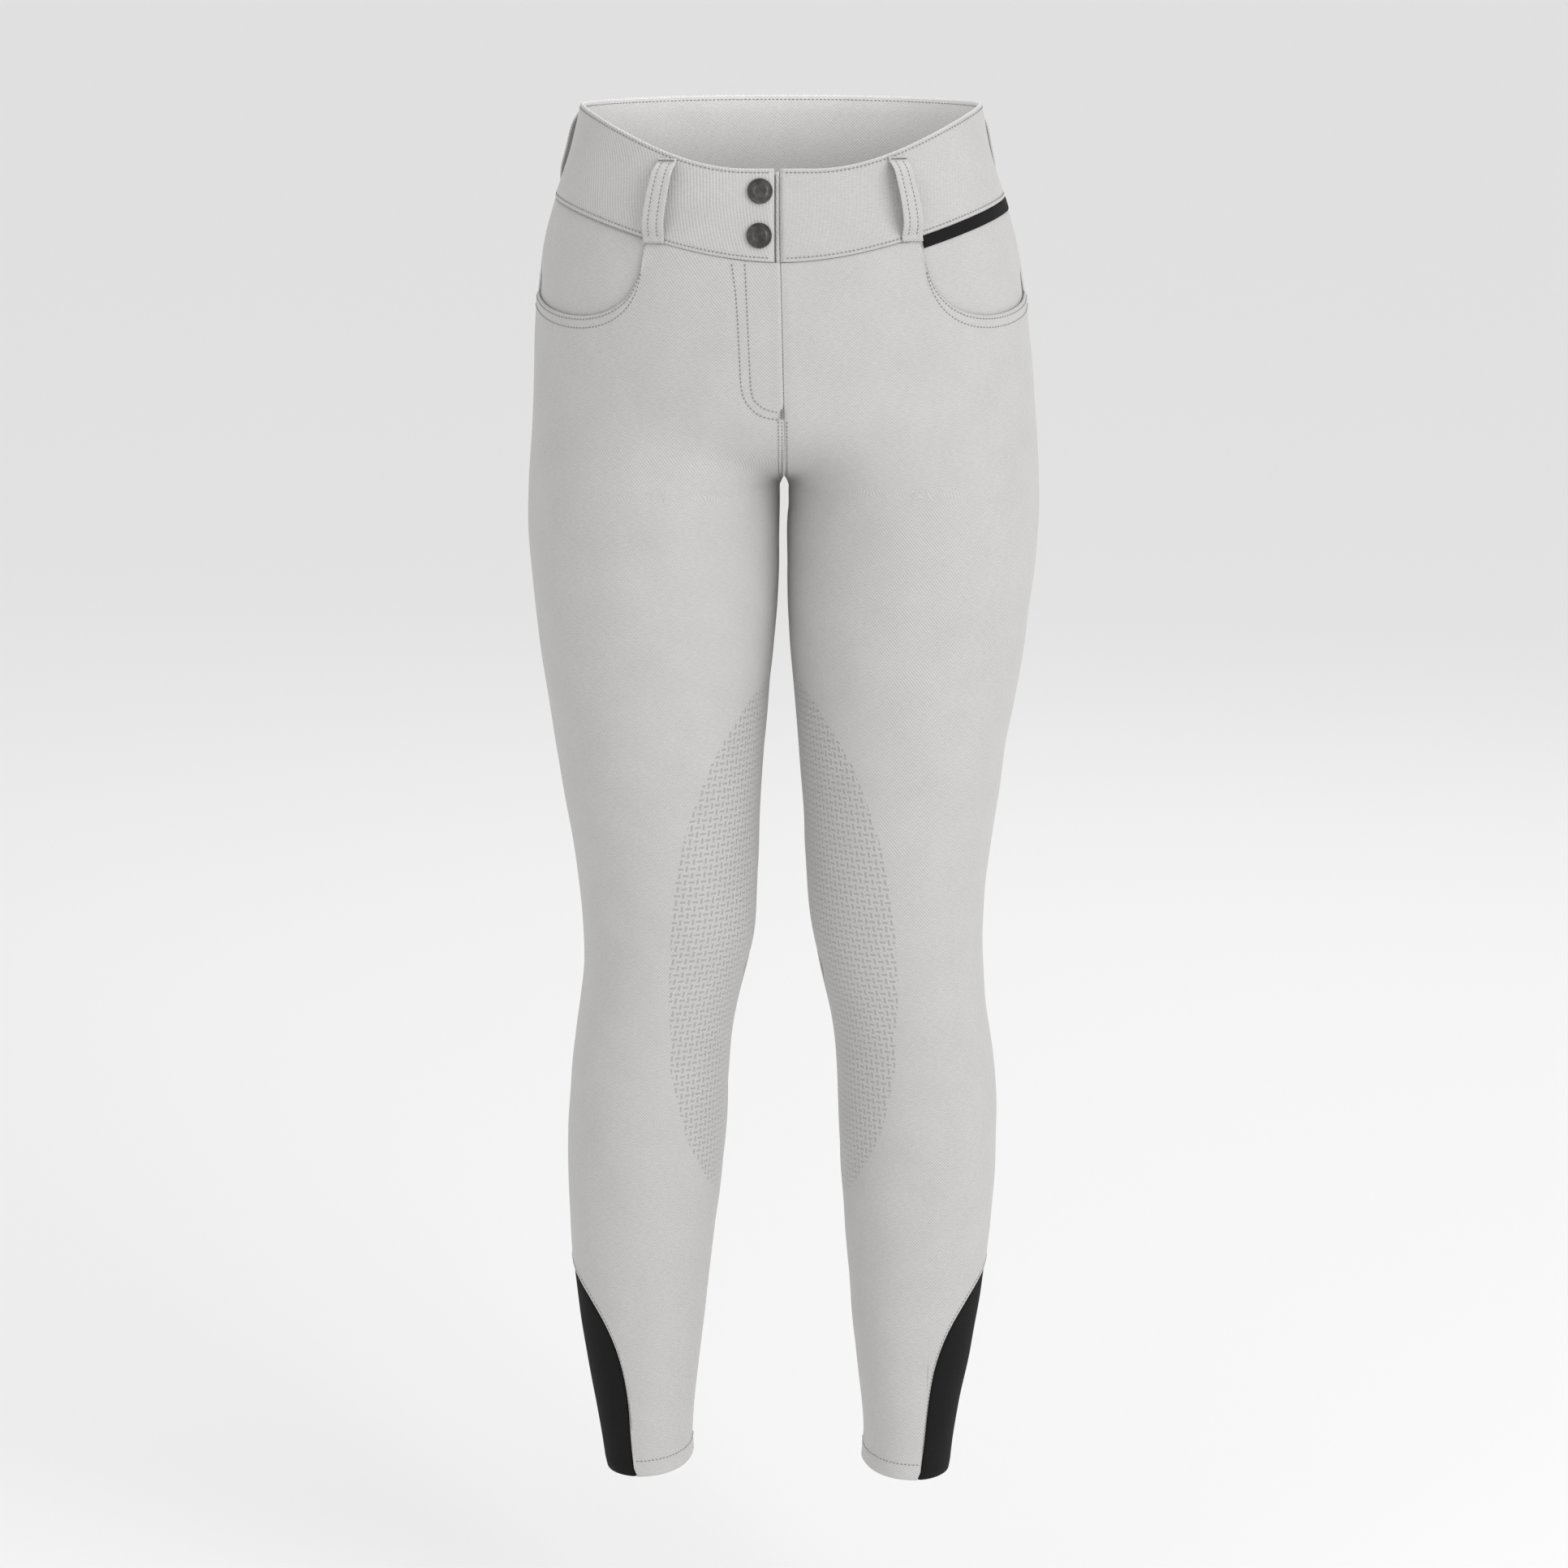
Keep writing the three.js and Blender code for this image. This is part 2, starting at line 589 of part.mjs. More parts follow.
// The press studs: a low domed cap with a rolled rim, square to the band.
const snapProfile = [
  [0, 0],
  [snap.radius - 0.9, 0],
  [snap.radius - 0.2, 0.25],
  [snap.radius, 0.8],
  [snap.radius - 0.25, snap.rimHeight],
  [snap.radius - 0.9, snap.rimHeight + 0.35],
  [snap.radius - 1.6, snap.rimHeight],
  [snap.radius * 0.5, snap.height - 0.3],
  [0, snap.height],
];

snap.drops.forEach((drop, k) => {
  const profile = snapProfile.map(([radius, height]) => new THREE.Vector2(radius, height));
  const turn = -1 + acrossCentre(snap.offCentre);
  const name = k ? "snap_lower" : "snap_upper";
  const stud = add(name, new THREE.LatheGeometry(profile, snap.facets), materials.gunmetal);
  const normal = clothNormal(-1, turn, drop);
  stud.position.copy(clothPoint(-1, turn, drop, bandProud + layerGap));
  stud.quaternion.setFromUnitVectors(new THREE.Vector3(0, 1, 0), normal);
});

export default breeches;
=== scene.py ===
import math

import bmesh
import bpy
import numpy as np
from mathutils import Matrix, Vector


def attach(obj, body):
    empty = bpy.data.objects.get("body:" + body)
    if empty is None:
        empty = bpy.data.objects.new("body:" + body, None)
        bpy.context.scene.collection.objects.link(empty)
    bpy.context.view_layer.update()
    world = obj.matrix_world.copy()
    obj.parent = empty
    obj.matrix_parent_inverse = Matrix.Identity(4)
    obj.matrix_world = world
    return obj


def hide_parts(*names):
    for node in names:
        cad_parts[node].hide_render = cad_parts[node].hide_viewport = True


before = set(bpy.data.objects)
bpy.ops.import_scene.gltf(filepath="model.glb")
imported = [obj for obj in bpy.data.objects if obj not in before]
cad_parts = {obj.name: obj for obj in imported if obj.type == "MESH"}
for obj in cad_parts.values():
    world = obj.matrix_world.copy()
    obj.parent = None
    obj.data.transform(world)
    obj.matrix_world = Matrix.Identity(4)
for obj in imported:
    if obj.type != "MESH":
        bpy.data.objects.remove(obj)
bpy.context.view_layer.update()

bpy.ops.object.select_all(action="DESELECT")
print("frame loaded")

# The garment's form, in millimetres, as the solids have it. "drop" is the distance below the origin.
# "turn" runs round one half: -1 at the front inner edge, 0 at the side seam, +1 at the back inner edge.
garment = {
    "crotchDrop": 252,
    "crotchFillet": 12,
    "filletFade": 10,
    "bridgeGrowth": 1.9,
    "frontMerge": 70,
    "backMerge": 125,
    "thighFront": -94.5,
    "hipSquareness": 2.25,
    "legSquareness": 2.1,
    "sideSeamForward": math.radians(3),
}

# drop, outer side, inner side, front, back, sideways lean
sectionRows = np.array([
    (-20, 129.4, 3, -90.5, 84, -1.4),
    (0, 132.7, 3, -92, 88, -1.8),
    (30, 138.9, 3, -95.5, 94, -2.5),
    (48, 144.6, 3, -98.7, 98.8, -2.8),
    (62, 149.8, 3, -101.5, 103, -2.7),
    (90, 158.1, 3, -105.5, 111, -2.5),
    (115, 162.5, 3, -107.5, 117, -1.9),
    (140, 165.8, 3, -107, 122, -1.3),
    (180, 168.6, 3, -103, 127, -0.4),
    (215, 171.2, 3, -98, 126, 0),
    (252, 173.2, 3, -94, 117, 0),
    (290, 173, 2.6, -91, 102.5, -0.4),
    (340, 168.2, 3.6, -89.5, 88, -1),
    (400, 159.2, 9, -87, 77, -1.7),
    (460, 149.8, 13.8, -83, 67, -1.7),
    (520, 141.2, 16.9, -76.5, 57.5, -1.3),
    (555, 138, 19, -72, 53, -0.6),
    (580, 137.9, 23.2, -68, 52, -0.3),
    (610, 140.8, 30.4, -63.5, 55.5, -0.6),
    (640, 144.8, 35.6, -59.5, 60.5, -0.7),
    (670, 148.1, 38, -56, 65, -0.7),
    (715, 150.6, 40, -51.5, 68, -1.1),
    (760, 149.3, 43.8, -47, 67, -2),
    (800, 147.2, 47.5, -43, 63, -3.2),
    (840, 142, 51.7, -40, 58, -3.7),
    (880, 135.8, 55.9, -38, 53, -4.1),
    (920, 128.8, 60.3, -36.8, 49.5, -4.4),
    (940, 125.4, 61.1, -36.5, 48.6, -4.5),
    (975, 121, 58.6, -37, 48.6, -4.5),
])


def mix(start, end, share):
    return start + (end - start) * share


def matched(*values):
    return np.broadcast_arrays(*(np.asarray(value, float) for value in values))


def smooth(start, end, value):
    t = np.clip((value - start) / (end - start), 0, 1)
    return t * t * (3 - 2 * t)


def sectionAt(drop):
    rows = sectionRows
    k = np.clip(np.searchsorted(rows[:, 0], drop, side="left") - 1, 1, len(rows) - 2)
    before, low, high = rows[k - 1], rows[k], rows[k + 1]
    after = rows[np.minimum(k + 2, len(rows) - 1)]
    span = (high[:, 0] - low[:, 0])[:, None]
    t = (drop - low[:, 0])[:, None] / span
    startSlope = (high - before) / (high[:, :1] - before[:, :1]) * span
    endSlope = (after - low) / (after[:, :1] - low[:, :1]) * span
    row = ((2 * t**3 - 3 * t**2 + 1) * low + (t**3 - 2 * t**2 + t) * startSlope
           + (3 * t**2 - 2 * t**3) * high + (t**3 - t**2) * endSlope)
    outer, inner, front, back, lean = row[:, 1], row[:, 2], row[:, 3], row[:, 4], row[:, 5]
    above = drop < garment["crotchDrop"]
    legFront = np.where(above, np.maximum(front, garment["thighFront"]), front)
    fillet = np.where(
        above,
        garment["crotchFillet"] + garment["bridgeGrowth"] * (garment["crotchDrop"] - drop),
        garment["crotchFillet"]
        * (1 - smooth(garment["crotchDrop"], garment["crotchDrop"] + garment["filletFade"], drop)),
    )
    return {
        "drop": drop, "above": above, "outer": outer, "lean": lean, "fillet": fillet,
        "legX": (outer + inner) / 2, "legWidth": (outer - inner) / 2,
        "middleY": (front + back) / 2, "depth": (back - front) / 2,
        "legMiddleY": (legFront + back) / 2, "legDepth": (back - legFront) / 2,
    }


def outside(x, y, centreX, halfWidth, middleY, depth, squareness):
    across = (np.abs(x - centreX) / halfWidth) ** squareness
    along = (np.abs(y - middleY) / depth) ** squareness
    return ((across + along) ** (1 / squareness) - 1) * halfWidth


def field(x, y, section):
    leg = (section["legX"], section["legWidth"], section["legMiddleY"], section["legDepth"],
           garment["legSquareness"])
    near = outside(x, y, *leg)
    far = outside(-x, y, *leg)
    fillet = np.maximum(section["fillet"], 1e-9)
    legs = np.minimum(near, far) - np.maximum(fillet - np.abs(near - far), 0) ** 2 / (4 * fillet)
    merge = mix(garment["frontMerge"], garment["backMerge"], smooth(-60, 60, y))
    share = np.where(section["above"], smooth(0, 1, (garment["crotchDrop"] - section["drop"]) / merge), 0)
    hips = outside(x, y, 0, section["outer"], section["middleY"], section["depth"], garment["hipSquareness"])
    return mix(legs, hips, share)


def crossing(start, end, value):
    low, high = np.array(start, float), np.array(end, float)
    for _ in range(36):
        middle = (low + high) / 2
        inside = value(middle) < 0
        low, high = np.where(inside, middle, low), np.where(inside, high, middle)
    return (low + high) / 2


def direction(turn, section):
    reach = section["depth"] + 40
    middleY = section["legMiddleY"]
    front = -crossing(0 * reach, reach, lambda d: field(0, middleY - d, section))
    back = crossing(0 * reach, reach, lambda d: field(0, middleY + d, section))
    frontEnd = np.where(section["above"], np.arctan2(front, -section["legX"]), -np.pi)
    backEnd = np.where(section["above"], np.arctan2(back, -section["legX"]), np.pi)
    amount = np.abs(turn)
    forward = garment["sideSeamForward"] * (1 - amount)
    frontward = -np.pi * amount + (frontEnd + np.pi) * amount**2 - forward
    backward = np.pi * amount - (np.pi - backEnd) * amount**2 - forward
    return np.where(turn < 0, frontward, backward)


def surface(side, turn, drop):
    side, turn, drop = matched(side, turn, drop)
    shape = drop.shape
    side, turn, drop = side.ravel(), turn.ravel(), drop.ravel()
    section = sectionAt(drop)
    angle = direction(turn, section)
    cos, sin = np.cos(angle), np.sin(angle)
    limit = np.where(cos < 0, section["legX"] / np.maximum(-cos, 1e-9), 400)
    limit = np.minimum(limit, 400)

    def reached(radius):
        return section["legX"] + radius * cos, section["legMiddleY"] + radius * sin

    x, y = reached(crossing(0 * limit, limit, lambda radius: field(*reached(radius), section)))
    step = 0.25
    normal = np.stack([
        field(x + step, y, section) - field(x - step, y, section),
        field(x, y + step, section) - field(x, y - step, section),
        field(x, y, sectionAt(drop - step)) - field(x, y, sectionAt(drop + step)),
    ], axis=1)
    normal /= np.linalg.norm(normal, axis=1)[:, None]
    point = np.stack([x, y, -drop], axis=1)
    return {"side": side, "lean": section["lean"], "point": point, "normal": normal, "shape": shape}


def offsetPoints(base, out, keepOff):
    # places off the surface, on the garment's own side of its middle plane
    out = np.broadcast_to(np.asarray(out, float), base["shape"]).ravel()
    point = base["point"] + base["normal"] * out[:, None]
    point[:, 0] = base["side"] * np.maximum(point[:, 0], keepOff) + base["lean"]
    return point


def clothPoint(side, turn, drop, out=0.0, keepOff=0.0):
    base = surface(side, turn, drop)
    return offsetPoints(base, out, keepOff).reshape(base["shape"] + (3,))


# What several pieces share, in millimetres.
cloth = {
    "thickness": 1.4,
    "bandProud": 0.5,
    "bandInside": 1.9,
    "gap": 0.16,
    "layerGap": 0.35,
}
edges = {
    "topSide": 0, "topFront": 38.5, "topBack": -2, "topLevel": 0.88,
    "footSide": 62, "footFront": 98, "footBack": 60, "footLevel": 1,
    "hemDrop": 956, "hemTilt": 3, "leftLower": 1.5,
}
pocket = {
    "rightCorner": -0.566, "leftCorner": -0.546, "drop": 147,
    "sideRise": 22.5, "riseTurn": 3.4, "squareness": 3,
}
insert = {"topDrop": 808, "frontTurn": 0.425, "backTurn": 0.43, "narrowing": 3.5, "roundness": 0.6}


def sideName(side):
    return "Left" if side > 0 else "Right"


def topDrop(turn):
    low = np.where(turn < 0, edges["topFront"], edges["topBack"])
    return mix(edges["topSide"], low, smooth(0, edges["topLevel"], np.abs(turn)))


def footDrop(turn):
    low = np.where(turn < 0, edges["footFront"], edges["footBack"])
    return mix(edges["footSide"], low, smooth(0, edges["footLevel"], np.abs(turn)))


def hemDrop(side, turn):
    return edges["hemDrop"] + edges["hemTilt"] * np.cos(np.pi * turn) + side * edges["leftLower"]


def pocketCorner(side):
    return pocket["leftCorner"] if side > 0 else pocket["rightCorner"]


def pocketCurve(part, side):
    angle = part * np.pi / 2
    power = 2 / pocket["squareness"]
    start = footDrop(np.array(pocketCorner(side)))
    turn = pocketCorner(side) * np.clip(np.cos(angle), 0, 1) ** power
    rise = pocket["sideRise"] * part ** pocket["riseTurn"]
    return turn, start + (pocket["drop"] - start) * np.sin(angle) ** power - rise


def insertCurve(part, sign, side):
    wide = insert["frontTurn"] if sign < 0 else insert["backTurn"]
    height = hemDrop(side, wide) - insert["topDrop"]
    fromTop = (1 - part) ** 1.6
    turn = sign * wide * (1 - (1 - fromTop) ** insert["narrowing"]) ** insert["roundness"]
    return turn, insert["topDrop"] + height * fromTop


# Distances round the garment, measured once on a table of turns and drops.
tableTurns = np.linspace(-1, 1, 121)
tableStep = 5.0
tableDrops = np.arange(-10, 971, tableStep)
tablePoints = clothPoint(1, *np.meshgrid(tableTurns, tableDrops))
tableSteps = np.linalg.norm(np.diff(tablePoints, axis=1), axis=2)
tableArcs = np.concatenate([np.zeros((len(tableDrops), 1)), np.cumsum(tableSteps, axis=1)], axis=1)
tableArcs -= tableArcs[:, 60:61]


def arcAt(turn, drop):
    # millimetres round from the side seam, less than 0 towards the front
    turn, drop = matched(turn, drop)
    column = np.clip((turn + 1) / (tableTurns[1] - tableTurns[0]), 0, len(tableTurns) - 1.001)
    row = np.clip((drop - tableDrops[0]) / tableStep, 0, len(tableDrops) - 1.001)
    c, r = column.astype(int), row.astype(int)
    fc, fr = column - c, row - r
    upper = mix(tableArcs[r, c], tableArcs[r, c + 1], fc)
    lower = mix(tableArcs[r + 1, c], tableArcs[r + 1, c + 1], fc)
    return mix(upper, lower, fr)


def turnAt(arcFromFront, drop):
    # the turn that lies a distance round from the front inner edge
    arcFromFront, drop = matched(arcFromFront, drop)
    low, high = np.full(drop.shape, -1.0), np.full(drop.shape, 1.0)
    start = arcAt(-1, drop)
    for _ in range(24):
        middle = (low + high) / 2
        short = arcAt(middle, drop) - start < arcFromFront
        low, high = np.where(short, middle, low), np.where(short, high, middle)
    return (low + high) / 2


# Soft folds: turn, drop, reach in turns, width, height, climb in millimetres a turn. side 0 is both.
foldRows = (
    (0, 0.97, 262, 0.34, 9, -1.6, 60),
    (0, 0.88, 292, 0.3, 11, -1.3, 75),
    (0, 0.72, 566, 0.3, 8, -1.8, -22),
    (0, 0.66, 592, 0.34, 9, -2.1, 12),
    (0, 0.6, 618, 0.24, 10, -1.4, 34),
    (0, -0.92, 586, 0.24, 9, -1.3, -70),
    (0, -0.12, 604, 0.22, 22, -1.2, 40),
    (-1, -0.8, 232, 0.3, 9, -0.9, -55),
    (1, -0.82, 238, 0.26, 8, -0.8, -60),
    (1, -0.93, 268, 0.2, 7, -0.7, -40),
    (-1, -0.5, 905, 0.3, 8, -0.7, 18),
    (1, -0.55, 880, 0.3, 9, -0.8, -20),
)
waveRows = (
    # millimetres across, millimetres down, height, phase
    (140, 96, 0.35, 0.4),
    (83, 150, 0.3, 2.1),
    (61, 72, 0.16, 4.4),
    (210, 47, 0.14, 1.3),
    (38, 118, 0.1, 5.2),
)
flyStitch = {
    # millimetres from the centre front, and drop
    "outer": ((31.5, 98.5), (29.5, 118), (28.5, 140), (28, 160), (27.6, 176), (26.2, 185), (22.6, 191.5),
              (16.4, 197.2), (10, 199.6), (3.2, 200.6)),
    "inner": ((22.9, 98.5), (22.5, 124), (21.9, 150), (21.5, 172), (20.8, 182), (18.6, 188.2), (13.4, 192.6),
              (8.6, 194.6), (3.4, 195.8)),
}


def curveThrough(points, count):
    # a smooth run of places through a short list of points
    points = np.array(points, float)
    ends = np.vstack([2 * points[0] - points[1], points, 2 * points[-1] - points[-2]])
    runs = []
    for a, b, c, d in zip(ends, ends[1:], ends[2:], ends[3:]):
        t = np.linspace(0, 1, 12, endpoint=False)[:, None]
        curve = 2 * b + (c - a) * t + (2 * a - 5 * b + 4 * c - d) * t**2 + (3 * b - a - 3 * c + d) * t**3
        runs.append(0.5 * curve)
    fine = np.vstack(runs + [points[-1:]])
    along = np.concatenate([[0], np.cumsum(np.linalg.norm(np.diff(fine, axis=0), axis=1))])
    at = np.linspace(0, along[-1], count)
    return np.stack([np.interp(at, along, fine[:, k]) for k in range(fine.shape[1])], axis=1)


flyPaths = {name: curveThrough(points, 90) for name, points in flyStitch.items()}


def flyTrough(side, turn, drop):
    # the stitched J pulls the right front in along its two rows
    sunk = np.zeros(np.shape(turn))
    near = (side < 0) & (turn < -0.7) & (drop < 215)
    if not near.any():
        return sunk
    arc = arcAt(turn[near], drop[near]) - arcAt(-1, drop[near])
    for path in flyPaths.values():
        gap = np.sqrt((arc[:, None] - path[:, 0]) ** 2 + (drop[near][:, None] - path[:, 1]) ** 2)
        gap = gap.min(axis=1)
        sunk[near] -= 0.42 * np.exp(-(gap / 2.0) ** 2)
    return sunk


def relief(side, turn, drop):
    side, turn, drop = matched(side, turn, drop)
    height = np.zeros(turn.shape)
    for only, atTurn, atDrop, reach, width, lift, climb in foldRows:
        across = (turn - atTurn) / reach
        off = (drop - atDrop - climb * (turn - atTurn)) / width
        here = lift * np.clip(1 - across**2, 0, 1) ** 2 * np.exp(-off**2)
        height += here if only == 0 else np.where(side == only, here, 0)
    arc = arcAt(turn, drop)
    calm = smooth(95, 150, drop) * (1 - 0.4 * smooth(-0.4, -1, turn))
    for across, down, lift, phase in waveRows:
        height += calm * lift * np.sin(2 * np.pi * (arc / across + side * 0.13) + phase) * np.sin(
            2 * np.pi * drop / down + 1.7 * phase + side)
    return height + flyTrough(side, turn, drop)


# Meshes. Positions are worked out in millimetres and stored in metres.
def addMap(mesh, name, places):
    loops = np.empty(len(mesh.loops), int)
    mesh.loops.foreach_get("vertex_index", loops)
    layer = mesh.uv_layers.new(name=name)
    layer.data.foreach_set("uv", (np.asarray(places)[loops] / 1000).ravel())


def meshPiece(name, points, faces, uvs=None, values=None):
    mesh = bpy.data.meshes.new(name)
    mesh.from_pydata((np.asarray(points) / 1000).tolist(), [], [list(map(int, face)) for face in faces])
    if uvs is not None:
        addMap(mesh, "clothMap", uvs)
    for key, value in (values or {}).items():
        mesh.attributes.new(key, "FLOAT", "POINT").data.foreach_set("value", np.asarray(value, float))
    piece = bpy.data.objects.new(name, mesh)
    bpy.context.scene.collection.objects.link(piece)
    mesh.polygons.foreach_set("use_smooth", [True] * len(mesh.polygons))
    return piece


def gridFaces(rows, columns, start=0, flip=False):
    r, c = np.meshgrid(np.arange(rows - 1), np.arange(columns - 1), indexing="ij")
    a = (start + r * columns + c).ravel()
    quads = np.stack([a, a + columns, a + columns + 1, a + 1], axis=1)
    return quads[:, ::-1] if flip else quads


def rimFaces(rows, columns, under):
    def at(r, c):
        return r * columns + c
    ring = [at(r, 0) for r in range(rows)]
    ring += [at(rows - 1, c) for c in range(1, columns)]
    ring += [at(r, columns - 1) for r in range(rows - 2, -1, -1)]
    ring += [at(0, c) for c in range(columns - 2, 0, -1)]
    return [(b, a, a + under, b + under) for a, b in zip(ring, ring[1:] + ring[:1])]


def outward(piece):
    # turns a closed shell right side out when its volume says that it isn't
    shell = bmesh.new()
    shell.from_mesh(piece.data)
    if shell.calc_volume(signed=True) < 0:
        bmesh.ops.reverse_faces(shell, faces=shell.faces)
        shell.to_mesh(piece.data)
    shell.free()
    return piece


def clothShell(name, side, turn, drop, out, inner, keepOff=0.0, values=None):
    # a wall between two offsets of the garment's surface, over a grid of places
    rows, columns = turn.shape
    base = surface(side, turn, drop)
    layers = [offsetPoints(base, offset, keepOff) for offset in (out, inner)]
    under = rows * columns
    faces = [*gridFaces(rows, columns), *gridFaces(rows, columns, under, True),
             *rimFaces(rows, columns, under)]
    uv = np.stack([np.broadcast_to(side, turn.shape) * arcAt(turn, drop), -drop], axis=2).reshape(-1, 2)
    doubled = {key: np.tile(np.ravel(value), 2) for key, value in (values or {}).items()}
    piece = meshPiece(name, np.vstack(layers), faces, np.tile(uv, (2, 1)), doubled)
    normals = base["normal"].copy()
    normals[:, 0] *= base["side"]
    grid = {"points": layers[0].reshape(rows, columns, 3), "normals": normals.reshape(rows, columns, 3)}
    return outward(piece), grid


def clustered(length, step, fine=(0.8, 1.0, 1.3, 1.6, 2.0, 2.5, 3.0)):
    # shares of a length, closer together near both ends
    start = np.concatenate([[0], np.cumsum(fine)])
    middle = length - 2 * start[-1]
    count = max(int(round(middle / step)), 1)
    inside = start[-1] + np.arange(1, count) * middle / count
    return np.concatenate([start, inside, length - start[::-1]]) / length


# Shader maths: a wrapped socket adds its Math nodes as expressions are worked out.
class Dyer:
    def __init__(self, name):
        self.material = bpy.data.materials.new(name)
        self.material.use_nodes = True
        self.tree = self.material.node_tree
        self.shader = self.tree.nodes["Principled BSDF"]

    def node(self, kind, settings=None, sockets=None, output=0):
        made = self.tree.nodes.new(kind)
        for key, value in (settings or {}).items():
            setattr(made, key, value)
        for key, value in (sockets or {}).items():
            self.feed(made.inputs[key], value)
        return Thread(self, made.outputs[output])

    def feed(self, socket, value):
        if isinstance(value, Thread):
            self.tree.links.new(value.socket, socket)
        else:
            socket.default_value = value

    def finish(self, **values):
        for key, value in values.items():
            self.feed(self.shader.inputs[key], value)
        return self.material


class Thread:
    def __init__(self, dyer, socket):
        self.dyer = dyer
        self.socket = socket

    def sum(self, operation, first, second=0.0, third=0.0):
        return self.dyer.node("ShaderNodeMath", {"operation": operation}, {0: first, 1: second, 2: third})

    def __add__(self, other): return self.sum("ADD", self, other)
    def __radd__(self, other): return self.sum("ADD", other, self)
    def __sub__(self, other): return self.sum("SUBTRACT", self, other)
    def __rsub__(self, other): return self.sum("SUBTRACT", other, self)
    def __mul__(self, other): return self.sum("MULTIPLY", self, other)
    def __rmul__(self, other): return self.sum("MULTIPLY", other, self)
    def __truediv__(self, other): return self.sum("DIVIDE", self, other)
    def __abs__(self): return self.sum("ABSOLUTE", self)
    def sine(self): return self.sum("SINE", self)
    def floor(self): return self.sum("FLOOR", self)
    def fraction(self): return self.sum("FRACT", self)
    def higher(self, other): return self.sum("MAXIMUM", self, other)

    def between(self, start, end):
        sockets = {"Value": self, "From Min": start, "From Max": end, "To Min": 0.0, "To Max": 1.0}
        return self.dyer.node("ShaderNodeMapRange", {"interpolation_type": "SMOOTHSTEP"}, sockets)


def blend(dyer, factor, first, second):
    settings = {"data_type": "RGBA"}
    return dyer.node("ShaderNodeMix", settings, {0: factor, 6: first, 7: second}, output=2)


def noise(dyer, place, scale, detail):
    return dyer.node("ShaderNodeTexNoise", {}, {"Vector": place, "Scale": scale, "Detail": detail})


def raised(dyer, strength, distance, height):
    return dyer.node("ShaderNodeBump", {}, {"Strength": strength, "Distance": distance, "Height": height})


def mapAxes(dyer, name):
    # a cloth map's two directions, in millimetres
    place = dyer.node("ShaderNodeUVMap", {"uv_map": name})
    parts = dyer.node("ShaderNodeSeparateXYZ", {}, {0: place})
    across = Thread(dyer, parts.socket.node.outputs[0]) * 1000
    up = Thread(dyer, parts.socket.node.outputs[1]) * 1000
    return place, across, up


twillLook = {
    "colour": (0.545, 0.539, 0.530, 1),
    "dark": (0.415, 0.410, 0.402, 1),
    "rib": 1.5,
    "ribHeight": 0.06,
    "roughness": 0.82,
    "sheen": 0.22,
}
gripLook = {
    "cellAcross": 4.35,
    "cellDown": 4.75,
    "halfLong": 2.0,
    "halfShort": 0.8,
    "colour": (0.345, 0.340, 0.334, 1),
    "roughness": 0.42,
    "height": 0.16,
}


def twill(name, withGrip=False, look=twillLook):
    dyer = Dyer(name)
    place, across, up = mapAxes(dyer, "clothMap")
    rib = ((across + up) * (2 * math.pi / look["rib"] * math.sqrt(0.5))).sine()
    weft = ((across - up) * (2 * math.pi / (look["rib"] * 1.7))).sine()
    diagonal = {"Vector": place, "Rotation": (0, 0, math.radians(45)), "Scale": (260, 1400, 1)}
    slub = noise(dyer, dyer.node("ShaderNodeMapping", {}, diagonal), 1.0, 2.0)
    cloud = noise(dyer, place, 34.0, 3.0)
    shade = rib * 0.24 + weft * 0.06 + slub * 0.8 + cloud * 0.3
    colour = blend(dyer, shade.between(0.1, 1.0), look["dark"], look["colour"])
    tall = look["ribHeight"]
    height = rib * tall + weft * (tall * 0.35) + slub * (tall * 1.6)
    roughness = look["roughness"] + slub * 0.1 - 0.05
    if withGrip:
        gripAcross, gripUp = mapAxes(dyer, "gripMap")[1:]
        zone = dyer.node("ShaderNodeAttribute", {"attribute_name": "gripDepth"}, {}, output=2)
        cellAcross, cellUp = gripAcross / gripLook["cellAcross"], gripUp / gripLook["cellDown"]
        odd = ((cellAcross.floor() + cellUp.floor()) * 0.5).fraction() * 2
        x = abs(cellAcross.fraction() - 0.5) * gripLook["cellAcross"]
        y = abs(cellUp.fraction() - 0.5) * gripLook["cellDown"]
        flat = (x - gripLook["halfLong"]).higher(y - gripLook["halfShort"])
        upright = (y - gripLook["halfLong"]).higher(x - gripLook["halfShort"])
        dash = odd * upright + (1 - odd) * flat
        mask = (1 - dash.between(-0.32, 0.18)) * zone.between(-0.4, 0.4)
        colour = blend(dyer, mask, colour, gripLook["colour"])
        roughness = roughness + mask * (gripLook["roughness"] - look["roughness"])
        height = height + mask * gripLook["height"]
    return dyer.finish(**{"Base Color": colour, "Roughness": roughness,
                          "Normal": raised(dyer, 0.8, 0.001, height),
                          "Sheen Weight": look["sheen"], "Sheen Roughness": 0.5})


stretchLook = {
    "colour": (0.011, 0.011, 0.0115, 1),
    "dark": (0.006, 0.006, 0.0065, 1),
    "rib": 1.1,
    "roughness": 0.9,
    "height": 0.06,
}
ribbonLook = {
    "colour": (0.009, 0.009, 0.0095, 1),
    "dark": (0.004, 0.004, 0.0045, 1),
    "rib": 0.9,
    "roughness": 0.75,
    "height": 0.08,
}


